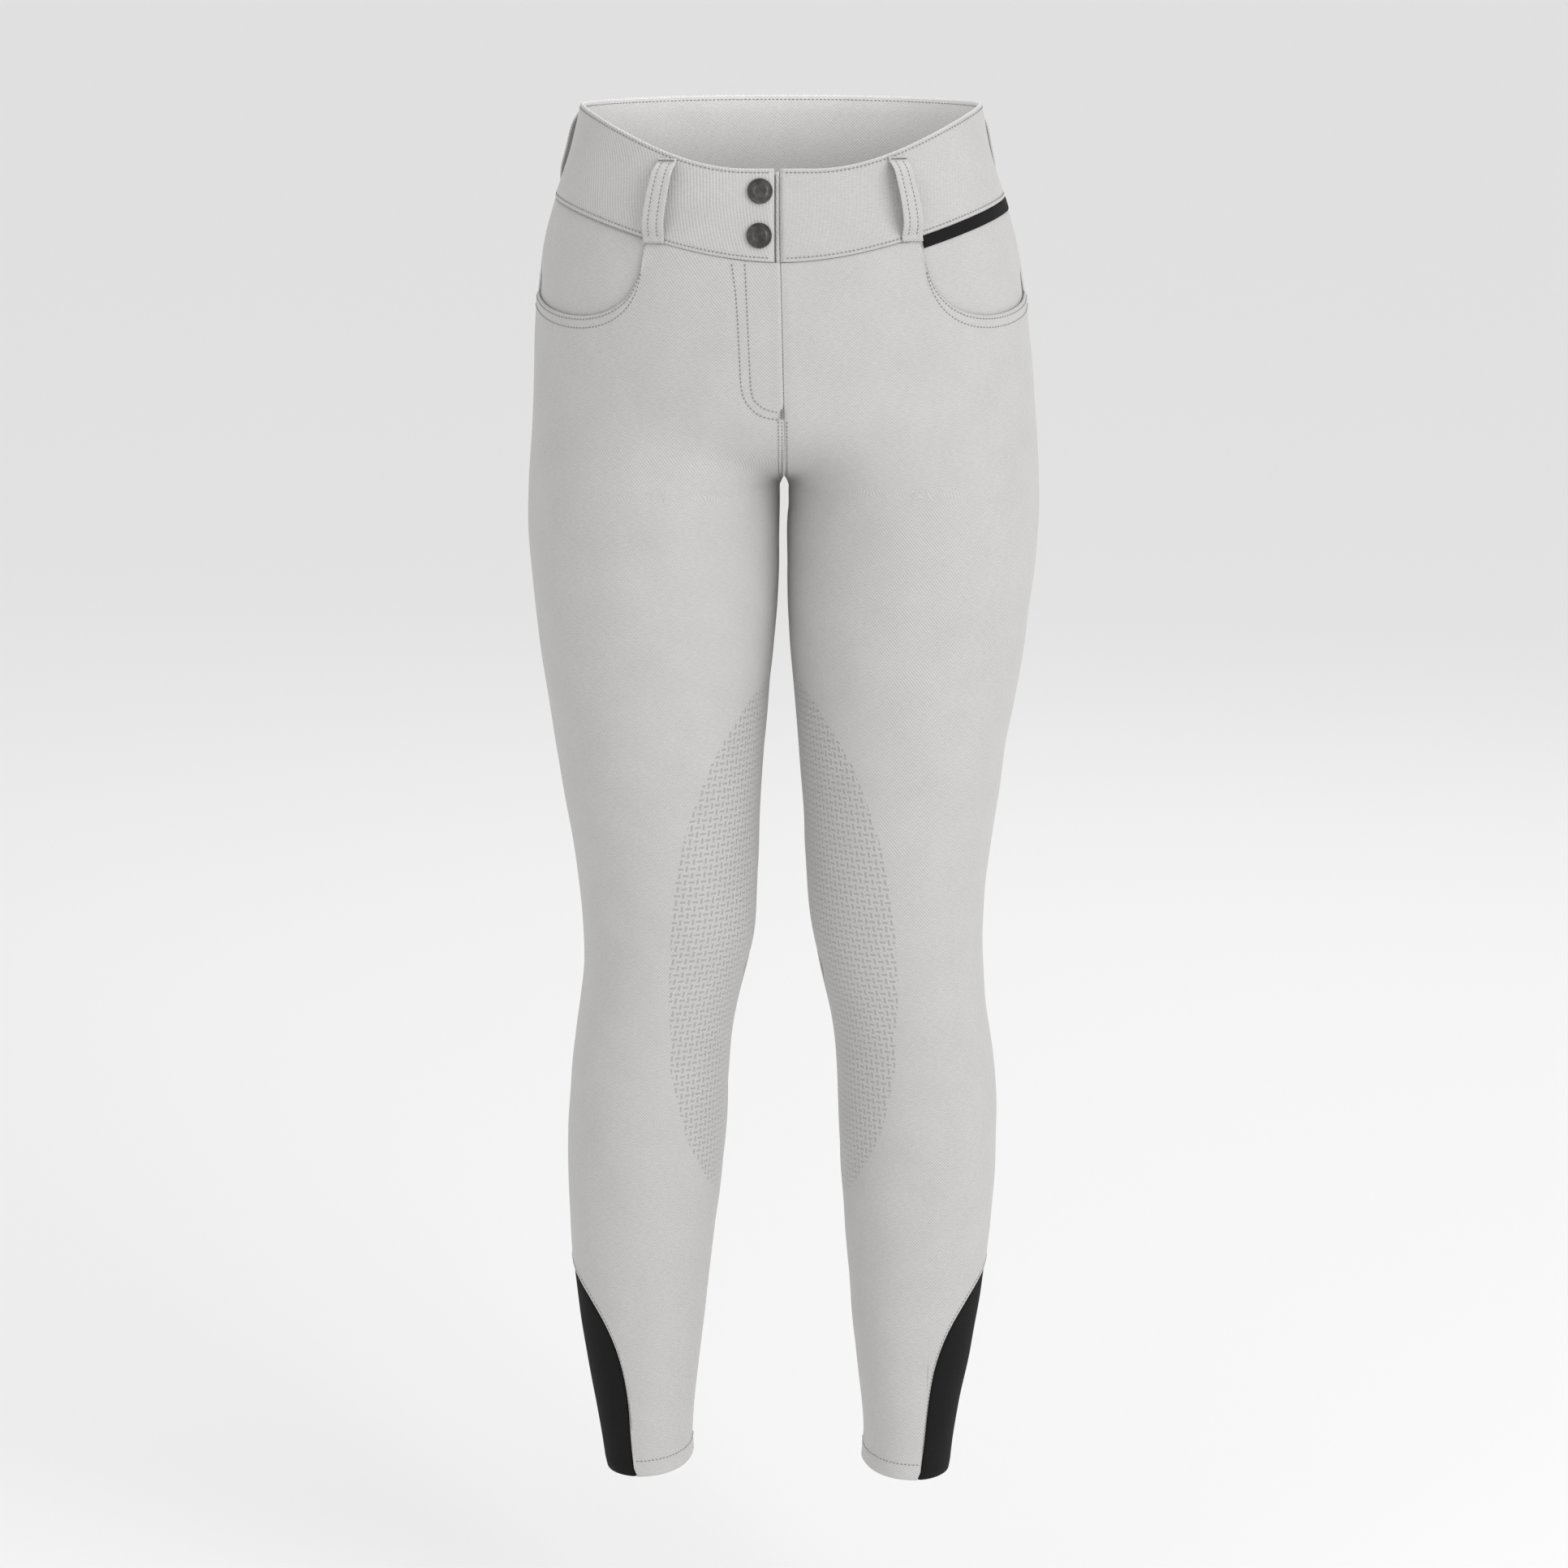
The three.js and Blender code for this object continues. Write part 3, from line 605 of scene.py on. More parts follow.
def ribbed(name, look):
    # fine upright ribs, for the stretch cloth and the ribbon
    dyer = Dyer(name)
    place, across, _ = mapAxes(dyer, "clothMap")
    rib = (across * (2 * math.pi / look["rib"])).sine()
    fleck = noise(dyer, place, 900.0, 2.0)
    colour = blend(dyer, (rib * 0.25 + fleck).between(0.1, 0.9), look["dark"], look["colour"])
    height = rib * look["height"] + fleck * look["height"]
    return dyer.finish(**{"Base Color": colour, "Roughness": look["roughness"] - 0.08 * fleck,
                          "Normal": raised(dyer, 0.7, 0.001, height),
                          "Sheen Weight": 0.0, "Specular IOR Level": 0.16})


def gunmetal(name):
    dyer = Dyer(name)
    place = dyer.node("ShaderNodeTexCoord", {}, {}, output=3)
    speck = noise(dyer, place, 700.0, 3.0)
    worn = noise(dyer, place, 160.0, 2.0)
    colour = blend(dyer, worn.between(0.35, 0.7), (0.06, 0.058, 0.056, 1), (0.115, 0.11, 0.105, 1))
    return dyer.finish(**{"Base Color": colour, "Roughness": 0.3 + speck * 0.2, "Metallic": 0.92,
                          "Normal": raised(dyer, 0.25, 0.0002, speck)})


def thread(name):
    dyer = Dyer(name)
    place = dyer.node("ShaderNodeTexCoord", {}, {}, output=3)
    twist = noise(dyer, place, 1500.0, 2.0)
    # painted shade: the thread's colour is set darker than the cloth, standing in for the shade in and beside
    # the stitch dashes; the twist noise is the thread's own tone
    colour = blend(dyer, twist.between(0.3, 0.7), (0.17, 0.168, 0.165, 1), (0.25, 0.247, 0.243, 1))
    return dyer.finish(**{"Base Color": colour, "Roughness": 0.6, "Sheen Weight": 0.2,
                          "Normal": raised(dyer, 0.5, 0.0002, twist)})


panelTwill = twill("panelTwill", withGrip=True)
plainTwill = twill("plainTwill")
stretchBlack = ribbed("stretchBlack", stretchLook)
ribbonBlack = ribbed("ribbonBlack", ribbonLook)
studMetal = gunmetal("studMetal")
threadPaintedShade = thread("threadPaintedShade")
print("materials made")


def finishPiece(piece, material, slotName, *nodes):
    piece.data.materials.append(material)
    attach(piece, "root")
    if nodes:
        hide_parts(*nodes)
    return piece


# Stitches are short beads of thread, gathered here and made into one mesh at the end.
stitchLook = {"pitch": 2.7, "length": 1.65, "radius": 0.34, "sink": -0.04, "sides": 6}
stitchPoints = []
stitchFaces = []


def tubeFaces(stations, around, start=0):
    # a closed tube's sides, ring by ring, and its two ends
    last = start + (stations - 1) * around
    faces = []
    for a in range(start, last, around):
        faces += [(a + c, a + (c + 1) % around, a + around + (c + 1) % around, a + around + c)
                  for c in range(around)]
    return faces + [tuple(start + c for c in reversed(range(around))), tuple(last + c for c in range(around))]


def bead(centre, along, normal, length, radius):
    across = np.cross(normal, along)
    across /= np.linalg.norm(across)
    up = np.cross(along, across)
    sides = stitchLook["sides"]
    turns = np.arange(sides) * 2 * np.pi / sides
    ring = np.cos(turns)[:, None] * across + 0.8 * np.sin(turns)[:, None] * up
    stations = ((-0.5, 0.35), (-0.34, 0.92), (0.34, 0.92), (0.5, 0.35))
    stitchFaces.extend(tubeFaces(len(stations), sides, len(stitchPoints) * len(stations) * sides))
    stitchPoints.append(np.vstack([centre + along * length * s + ring * radius * r for s, r in stations]))


def sew(path, normals):
    # a row of stitches along a path on the cloth
    radius = stitchLook["radius"]
    steps = np.linalg.norm(np.diff(path, axis=0), axis=1)
    along = np.concatenate([[0], np.cumsum(steps)])
    count = max(int(along[-1] / stitchLook["pitch"]), 1)
    at = (np.arange(count) + 0.5) * along[-1] / count
    for s in at:
        ends = [np.array([np.interp(s + d, along, path[:, k]) for k in range(3)]) for d in (-0.8, 0, 0.8)]
        normal = np.array([np.interp(s, along, normals[:, k]) for k in range(3)])
        normal /= np.linalg.norm(normal)
        tangent = ends[2] - ends[0]
        tangent /= np.linalg.norm(tangent)
        spot = ends[1] + normal * (radius * 0.5 - stitchLook["sink"])
        bead(spot, tangent, normal, stitchLook["length"], radius)


def barTack(centre, along, normal, length, width, radius=0.27):
    # close zigzag stitches across a short line
    along = along / np.linalg.norm(along)
    across = np.cross(normal, along)
    across /= np.linalg.norm(across)
    count = max(int(length / 0.5), 3)
    for k in range(count):
        lean = across + along * (0.12 if k % 2 else -0.12)
        spot = centre + along * ((k + 0.5) / count - 0.5) * length + normal * 0.16
        bead(spot, lean / np.linalg.norm(lean), normal, width, radius)


def sewOnGarment(side, turn, drop, out, inside=False):
    side = np.broadcast_to(np.asarray(side, float), np.shape(turn))
    base = surface(side, turn, drop)
    normal = base["normal"] * (-1 if inside else 1)
    normal[:, 0] *= base["side"]
    sew(clothPoint(side, turn, drop, out), normal)


# The legs' panels. Each grid runs from the waist seam and pocket mouth to the hem and ankle insert.
panel = {
    "columnStep": 4.2,
    "rowsAbove": 42,
    "rowsBelow": 165,
    "seamRoll": 0.85,
    "seamReach": 2.0,
    "edgeRoll": 0.85,
    "foldLift": 0.42,
    "pocketRows": (2.3, 8.0),
    "insertRow": 4.2,
    "hemRow": 11.7,
    "troughDepth": 0.3,
    "puckerHeight": 0.13,
    "puckerLength": 8.5,
}
gripReach = (
    # drop, and how far the grip print reaches forward of the inseam
    (378, 0), (386, 29), (394, 51), (408, 63.5), (420, 73), (436, 81.5), (454, 86.8), (470, 91), (484, 93.4),
    (504, 94.8), (518, 95.8), (554, 94.4), (590, 88), (626, 79), (655, 76), (674, 71), (693, 66), (708, 60),
    (722, 51), (738, 38.5), (751, 23), (757, 0),
)


def calmed(turn, drop, s):
    # keeps the inner columns from swinging sideways where the two legs part
    shape, section = drop.shape, sectionAt(drop.ravel())
    sign = np.where(turn < 0, -1.0, 1.0).ravel()
    angle = direction(turn.ravel(), section)
    bend = np.pi - sign * direction(sign, section)
    rows = np.arange(shape[0])
    weights = np.exp(-0.5 * ((rows[:, None] - rows[None, :]) / 7) ** 2)
    even = (weights / weights.sum(axis=1)[:, None]) @ angle.reshape(shape)
    near = (smooth(20, 34, rows) * (1 - smooth(66, 86, rows)))[:, None] * smooth(0.02, 0.2, s)
    wanted = mix(angle, even.ravel(), np.broadcast_to(near, shape).ravel())
    full = np.pi + sign * garment["sideSeamForward"]
    rest = sign * (wanted + garment["sideSeamForward"])
    amount = 2 * rest / (full + np.sqrt(np.maximum(full**2 - 4 * bend * rest, 0)))
    return (sign * amount).reshape(shape)


def panelPlaces(side, sign):
    s = clustered(190, panel["columnStep"])[None, :]
    fine = np.cumsum((0, 0.4, 0.5, 0.6, 0.8, 1.0, 1.2, 1.4)) / 157
    above = np.concatenate([fine, np.linspace(fine[-1], 1, panel["rowsAbove"])[1:]])
    tail = 1 - np.cumsum((0, 0.8, 1.0, 1.3, 1.6, 2.0, 2.4, 2.8))[::-1] / 704
    below = np.concatenate([np.linspace(0, tail[0], panel["rowsBelow"])[1:], tail[1:]])
    crotchShare = (garment["crotchDrop"] - edges["footFront"]) / (edges["hemDrop"] - edges["footFront"])

    def shares(upper, lower):
        return np.concatenate([crotchShare * upper, mix(crotchShare, 1, lower)])[:, None]

    edgeShare, evenShare = shares(1 - (1 - above) ** 2.1, below**1.12), shares(above, below)
    mouth = abs(pocketCorner(side)) if sign < 0 else 0.5
    outer = np.clip((s - 0.5) / 0.5, 0, 1)
    topTurn = sign * np.where(s <= 0.5, mix(1, mouth, s / 0.5), mouth * (1 - outer))
    topEdge = footDrop(topTurn)
    if sign < 0:
        cutTurn, cutDrop = pocketCurve(outer, side)
        topTurn = np.where(s <= 0.5, topTurn, cutTurn)
        topEdge = np.where(s <= 0.5, topEdge, cutDrop)
    wide = insert["frontTurn"] if sign < 0 else insert["backTurn"]
    innerTurn = sign * mix(1, wide, np.clip(s / 0.5, 0, 1))
    archTurn, archDrop = insertCurve(outer, sign, side)
    bottomTurn = np.where(s <= 0.5, innerTurn, archTurn)
    bottomDrop = np.where(s <= 0.5, hemDrop(side, innerTurn), archDrop)
    share = mix(edgeShare, evenShare, smooth(0, 0.5, s))
    drop = mix(topEdge + 0.1, bottomDrop, share)
    turn = np.abs(mix(topTurn, bottomTurn, smooth(0, 1, share)))
    gap = cloth["gap"] / 2 / 180
    turn = calmed(sign * np.clip(turn, gap, 1 - gap), drop, s)
    return s, sign * np.clip(np.abs(turn), gap, 1 - gap), drop


def alongGrid(points, axis, backwards=False):
    # distance in millimetres from the first or last line of a grid
    steps = np.linalg.norm(np.diff(points, axis=axis), axis=2)
    total = np.cumsum(steps, axis=axis)
    zero = np.zeros_like(np.take(total, [0], axis=axis))
    run = np.concatenate([zero, total], axis=axis)
    return np.take(run, [-1], axis=axis) - run if backwards else run


def rolled(distance, depth, reach):
    return -depth * (1 - smooth(0, reach, distance))


def stitchedIn(distance, row, run):
    # a row of stitching sinks, and the cloth beside it puckers
    trough = -panel["troughDepth"] * np.exp(-((distance - row) / 0.9) ** 2)
    wave = np.sin(2 * np.pi * run / panel["puckerLength"] + 1.3 * np.sin(run / 23))
    return trough + panel["puckerHeight"] * wave * np.exp(-((distance - row) / 3.2) ** 2)


def lineAt(grid, distance, wanted, columns):
    # where each column of a grid passes a distance from its first row
    path, normals = [], []
    for c in columns:
        run = distance[:, c]
        order = np.argsort(run)
        path.append([np.interp(wanted, run[order], grid["points"][order, c, k]) for k in range(3)])
        normals.append([np.interp(wanted, run[order], grid["normals"][order, c, k]) for k in range(3)])
    return np.array(path), np.array(normals)


def makePanel(side, sign):
    half, hand = ("front" if sign < 0 else "back"), sideName(side)
    s, turn, drop = panelPlaces(side, sign)
    flat = clothPoint(side, turn, drop)
    fromTop, fromFoot = alongGrid(flat, 0), alongGrid(flat, 0, True)
    fromInner, fromOuter = alongGrid(flat, 1), alongGrid(flat, 1, True)
    isOuter = np.broadcast_to(s > 0.5, turn.shape)
    soft = relief(side, turn, drop)
    out = soft.copy()
    inseam = rolled(fromInner, panel["seamRoll"], panel["seamReach"])
    if sign < 0:
        fly = 1 - smooth(196, 204, drop)
        flap = 0.45 * (1 - smooth(2, 9, fromInner)) + rolled(fromInner, 1.0, 0.9)
        tucked = rolled(fromInner, 0.5, 5)
        inseam = mix(inseam, flap if side < 0 else tucked, fly)
    out += inseam
    out += rolled(fromOuter, panel["seamRoll"], panel["seamReach"])
    arc = arcAt(turn, drop)
    out += stitchedIn(fromOuter, 0, drop) * 0.5 * smooth(0, 6, fromTop)
    if sign < 0:
        mouthEdge = panel["foldLift"] * (1 - smooth(9, 12, fromTop))
        mouthEdge = mouthEdge + rolled(fromTop, panel["edgeRoll"], 1.0)
        for row in panel["pocketRows"]:
            mouthEdge = mouthEdge + stitchedIn(fromTop, row, arc)
        out += np.where(isOuter, mouthEdge, 0)
        out += np.where(isOuter, 0, rolled(fromTop, 0.55, 1.6) + stitchedIn(fromTop, 0, arc) * 0.8)
    else:
        out += rolled(fromTop, 0.55, 1.6) + stitchedIn(fromTop, 0, arc) * 0.8
    hem = 0.35 * (1 - smooth(12.4, 14, fromFoot)) + stitchedIn(fromFoot, panel["hemRow"], arc) * 1.3
    arch = panel["foldLift"] * (1 - smooth(5.5, 7.5, fromFoot))
    arch = arch + stitchedIn(fromFoot, panel["insertRow"], drop)
    out += np.where(isOuter, arch, hem) + rolled(fromFoot, panel["edgeRoll"], 1.0)
    inner = soft - cloth["thickness"] - 0.3 * np.where(isOuter, 0, 1 - smooth(12, 14, fromFoot))
    inseamArc = np.abs(arcAt(np.full(turn.shape, float(sign)), drop) - arc)
    reach = np.interp(drop, *zip(*gripReach), left=-30, right=-30) * (1 if sign < 0 else 0.55)
    piece, grid = clothShell(half + hand + "Cloth", side, turn, drop, out, inner, cloth["gap"] / 2,
                             {"gripDepth": reach - inseamArc})
    gripPlace = np.stack([side * sign * inseamArc, -drop], axis=2).reshape(-1, 2)
    addMap(piece.data, "gripMap", np.tile(gripPlace, (2, 1)))
    finishPiece(piece, panelTwill, "cloth", half + "_" + hand.lower())

    columns = turn.shape[1]
    firstOuter = int(np.argmax(s[0] > 0.5))
    outerColumns = range(firstOuter + 1, columns - 1)
    innerColumns = range(1, firstOuter)
    if sign < 0:
        for row in panel["pocketRows"]:
            sew(*lineAt(grid, fromTop, row, outerColumns))
    sew(*lineAt(grid, fromFoot, panel["insertRow"], outerColumns))
    sew(*lineAt(grid, fromFoot, panel["hemRow"], innerColumns))
    if sign < 0:
        keep = (drop[:, 0] > 201) & (drop[:, 0] < 251.2)  # below the fly, above the crotch
        sideways = {key: value[keep].transpose(1, 0, 2) for key, value in grid.items()}
        for row in ((1.2, 3.5) if side < 0 else (1.8,)):
            sew(*lineAt(sideways, fromInner[keep].T, row, range(int(keep.sum()))))
    return piece


for side in (-1, 1):
    for sign in (-1, 1):
        makePanel(side, sign)
        print("panel sewn", side, sign)


# The waistband's pieces are closed tubes round a rounded section, so both long edges are soft.
band = {"height": 60, "topRow": 2.7, "footRow": 57.3, "step": 3.2, "opening": 3.6, "swell": 0.25}


def bandSection():
    half = (cloth["bandProud"] + cloth["bandInside"]) / 2
    middle = (cloth["bandProud"] - cloth["bandInside"]) / 2
    angles = np.radians(np.arange(180, -1, -30))
    top = [(half * (1 - math.sin(a)), middle + half * math.cos(a)) for a in angles]
    downs = np.concatenate([[1.7, 2.2, 2.7, 3.2, 3.8, 5, 7], np.arange(10, 51, 4),
                            [53, 55, 56.2, 56.8, 57.3, 57.8, 58.3]])
    face = []
    for down in downs:
        sunk = sum(0.34 * math.exp(-((down - row) / 0.85) ** 2) for row in (band["topRow"], band["footRow"]))
        face.append((down, cloth["bandProud"] + band["swell"] * math.sin(math.pi * down / 60) - sunk))
    foot = [(band["height"] - (half * (1 - math.sin(a))), middle + half * math.cos(a)) for a in angles[::-1]]
    inside = [(down, -cloth["bandInside"]) for down in np.arange(52, 5, -8)]
    return np.array(top + face + foot + inside)


def clothTube(name, side, turn, drop, out, keepOff=0.0):
    # stations along the piece are rows, and the places round its section are columns
    points = clothPoint(side, turn, drop, out, keepOff)
    for k in np.flatnonzero(turn[1:-1, 0] > 0.9999) + 1:  # an even curve across the centre back
        points[k] = (4 * (points[k - 1] + points[k + 1]) - points[k - 2] - points[k + 2]) / 6
    fromBack = side * (arcAt(turn, drop) - arcAt(np.ones(turn.shape), drop))
    uv = np.stack([fromBack, -drop + 0 * turn], axis=2)
    return outward(meshPiece(name, points.reshape(-1, 3), tubeFaces(*turn.shape), uv.reshape(-1, 2)))


def makeBand(name, node, sides, turns, keepOff=0.0):
    section = bandSection()
    side, turn = sides[:, None], turns[:, None]
    down, out = section[None, :, 0], section[None, :, 1]
    top, foot = topDrop(turn), footDrop(turn)
    drop = mix(top, foot - cloth["gap"], down / band["height"])
    fromBack = arcAt(np.ones(turn.shape), drop) - arcAt(turn, drop)
    ripple = 0.16 * np.cos(2 * np.pi * fromBack / 52) * np.sin(np.pi * down / 60)
    nearRows = np.exp(-((down - 57) / 4) ** 2) + np.exp(-((down - 3) / 3) ** 2)
    pucker = 0.1 * np.cos(2 * np.pi * fromBack / 7.5) * nearRows
    out = out + ripple + pucker
    ends = np.minimum(np.arange(len(turns)), np.arange(len(turns))[::-1])
    out = np.where((ends == 0)[:, None] & (out > 0), out - 0.35, out)
    side = np.broadcast_to(side, drop.shape)
    turn = np.broadcast_to(turn, drop.shape)
    piece = finishPiece(clothTube(name, side, turn, drop, out, keepOff), plainTwill, "cloth", node)
    for row in (band["topRow"], band["footRow"]):
        inside = slice(1, -1)
        lineDrop = mix(top, foot, row / band["height"])[inside, 0]
        sewOnGarment(side[inside, 0], turns[inside], lineDrop, cloth["bandProud"] - 0.2)
        sewOnGarment(side[inside, 0], turns[inside], lineDrop, -cloth["bandInside"], inside=True)
    return piece


def evenTurns(start, end, drop):
    # turns that lie evenly spaced in millimetres along a level line
    first, last = arcAt(start, drop), arcAt(end, drop)
    count = max(int(abs(last - first) / band["step"]), 4)
    fine = np.linspace(start, end, 200)
    return np.interp(np.linspace(first, last, count), arcAt(fine, drop), fine)


sideEnd = cloth["gap"] / 2 / 180
rightEnd = float(turnAt(band["opening"], 60.0))
rightTurns = evenTurns(rightEnd, -sideEnd, 60.0)
leftTurns = evenTurns(-1.0, -sideEnd, 60.0)
backTurns = evenTurns(sideEnd, 1.0, 30.0)
bandPieces = [
    makeBand("bandRight", "waistband_right", np.full(len(rightTurns), -1.0), rightTurns, band["opening"]),
    makeBand("bandLeft", "waistband_left", np.full(len(leftTurns), 1.0), leftTurns),
    makeBand("bandBack", "waistband_back",
             np.concatenate([np.full(len(backTurns), -1.0), np.full(len(backTurns) - 1, 1.0)]),
             np.concatenate([backTurns, backTurns[-2::-1]])),
]
print("waistband sewn")

# The fly's underlap shows as a narrow strip in the band's opening.
underlap = {
    "right": 33, "left": 9, "footDrop": 202, "face": -2.6, "thickness": 1.2,
    "ridge": 2.5, "raised": 2.15, "halfRound": 181,
}


def makeUnderlap():
    end = underlap["ridge"]
    nearRidge = [4, 3.2, end + 0.12, end, end - 0.15, end - 0.45, 1.2, 0.5, 0.25, 0.1, 0]
    across = np.concatenate([np.linspace(underlap["right"], 5, 8), nearRidge])
    rights = -1 + across / underlap["halfRound"]
    lefts = -1 + np.linspace(0, underlap["left"], 4)[1:] / underlap["halfRound"]
    side = np.concatenate([np.full(len(rights), -1.0), np.full(len(lefts), 1.0)])[None, :]
    turn = np.concatenate([rights, lefts])[None, :]
    down = np.linspace(0, 1, 60)[:, None]
    drop = mix(topDrop(turn) + 2, underlap["footDrop"] + 0 * turn, down)
    turn, side = np.broadcast_to(turn, drop.shape), np.broadcast_to(side, drop.shape)
    offCentre = np.where(side < 0, (turn + 1) * underlap["halfRound"], 0)
    edge = np.minimum(offCentre * 2, end + 0.12 - offCentre)
    strip = np.sqrt(np.clip(edge / 0.5, 0, 1)) * (1 - smooth(96, 104, drop))
    face = underlap["face"] + underlap["raised"] * strip
    piece, _ = clothShell("flyUnderlap", side, turn, drop, face, underlap["face"] - underlap["thickness"])
    return finishPiece(piece, plainTwill, "cloth", "fly_underlap")


underlapPiece = makeUnderlap()


# The pocket facings, and the ribbon that lies on the left one.
facing = {"face": -2.35, "lift": 1.9, "thickness": 1.1, "depth": 163, "inner": -0.7}
ribbon = {"height": 7.8, "thickness": 0.9, "clear": 0.35}


def facingFace(turn, drop):
    lift = smooth(-0.2, -0.01, turn) * (1 - smooth(96, 124, drop))
    return facing["face"] + facing["lift"] * lift


def makeFacing(side):
    turn = np.linspace(facing["inner"], -sideEnd, 46)[None, :]
    down = np.linspace(0, 1, 40)[:, None]
    drop = mix(footDrop(turn) + 0.2, facing["depth"] + 0 * turn, down)
    turn = np.broadcast_to(turn, drop.shape)
    face = facingFace(turn, drop) + relief(side, turn, drop)
    hand = sideName(side)
    piece, _ = clothShell("pocketFacing" + hand, side, turn, drop, face, face - facing["thickness"])
    return finishPiece(piece, plainTwill, "cloth", "pocket_facing_" + hand.lower())


facingPieces = [makeFacing(-1), makeFacing(1)]


def makeRibbon():
    turn = np.linspace(pocketCorner(1) * 0.98, -sideEnd * 2, 60)[None, :]
    down = np.array([0, 0.5, 1.2, 2.6, 4, 5.4, 6.6, 7.3, ribbon["height"]])[:, None]
    drop = footDrop(turn) + 0.25 + down
    turn = np.broadcast_to(turn, drop.shape)
    low = facingFace(turn, drop) + relief(1, turn, drop) + ribbon["clear"]
    rounding = rolled(np.minimum(down, ribbon["height"] - down), 0.35, 0.8)
    ripple = 0.1 * np.sin(arcAt(turn, drop) / 4.1)
    face = low + ribbon["thickness"] + rounding + ripple
    piece, _ = clothShell("pocketRibbon", 1, turn, drop, face, low)
    return finishPiece(piece, ribbonBlack, "ribbon", "ribbon_left")


ribbonPiece = makeRibbon()
print("pockets made")


# The ankle inserts run a little way under the grey cloth's folded edge.
insertLook = {"face": -0.45, "tucked": -2.05, "thickness": 1.0, "under": 3.2, "halfRound": 150}


def makeInsert(side):
    part = np.concatenate([np.linspace(0.995, 0.9, 12), np.linspace(0.88, 0, 56)])[:, None]
    frontTurn, frontDrop = insertCurve(part, -1, side)
    backTurn, backDrop = insertCurve(part, 1, side)
    wide = insertLook["under"] / insertLook["halfRound"]
    across = clustered(80, 2.6, (0.5, 0.6, 0.8, 1.0, 1.2))[None, :]
    turn = mix(frontTurn - wide, backTurn + wide, across)
    foot = hemDrop(side, turn)
    drop = np.minimum(mix(frontDrop, backDrop, across) - 1.2 * (part > 0.9), foot)
    drop[-1] = foot[-1]
    scale = (arcAt(0.1, 880.0) - arcAt(-0.1, 880.0)) / 0.2
    inside = np.minimum(turn - frontTurn, backTurn - turn) * scale
    toTop = drop - insert["topDrop"]
    shown = smooth(0.3, 1.6, np.minimum(inside, toTop * 0.8))
    fromFoot = foot - drop
    hemLine = -0.18 * np.exp(-(fromFoot - panel["hemRow"]) ** 2) + rolled(fromFoot, 0.5, 1.0)
    face = mix(insertLook["tucked"], insertLook["face"], shown) + hemLine * shown + relief(side, turn, drop)
    hand = sideName(side)
    piece, _ = clothShell("ankleInsert" + hand, side, turn, drop, face, face - insertLook["thickness"])
    return finishPiece(piece, stretchBlack, "stretch", "ankle_insert_" + hand.lower())


insertPieces = [makeInsert(-1), makeInsert(1)]
print("ankle inserts made")


# Belt loops: a folded strip, sewn down at both ends and clear of the band between them.
beltLoop = {
    "width": 13.5, "thickness": 1.5, "standOff": 7.6, "topMargin": 4, "footPast": 1.5,
    "rows": (-2.7, 2.7), "rightBackTurn": 0.16, "leftBackTurn": 0.2,
    "backLift": (0.78, 0.86), "rightLift": (0.92, 1.08), "leftLift": (1.3, 0.95),
}
loopProfile = (
    # share of the length, share of the stand-off, extra thickness in millimetres
    (0, 0, 1.4), (0.05, 0, 1.5), (0.09, 0.35, 0.7), (0.15, 0.72, 0), (0.24, 0.93, 0), (0.38, 1, 0),
    (0.54, 1, 0), (0.7, 0.93, 0), (0.82, 0.66, 0), (0.9, 0.25, 0), (0.95, 0.02, 0.1), (1, 0, 0.1),
)


def loopSection():
    half = beltLoop["width"] / 2
    across = [-half + 0.5, -half + 1.2, -3.8, -2.7, -1.6, 0, 1.6, 2.7, 3.8, half - 1.2, half - 0.5]
    top = [(x, 1.0 - 0.16 * sum(math.exp(-((x - row) / 0.7) ** 2) for row in beltLoop["rows"]))
           for x in across]
    under = [(half - 0.1, 0.8), (half, 0.5), (half - 0.1, 0.2), (half - 0.5, 0), (2.5, 0)]
    return np.array(top + under + [(0, 0)] + [(-x, y) for x, y in reversed(under)])


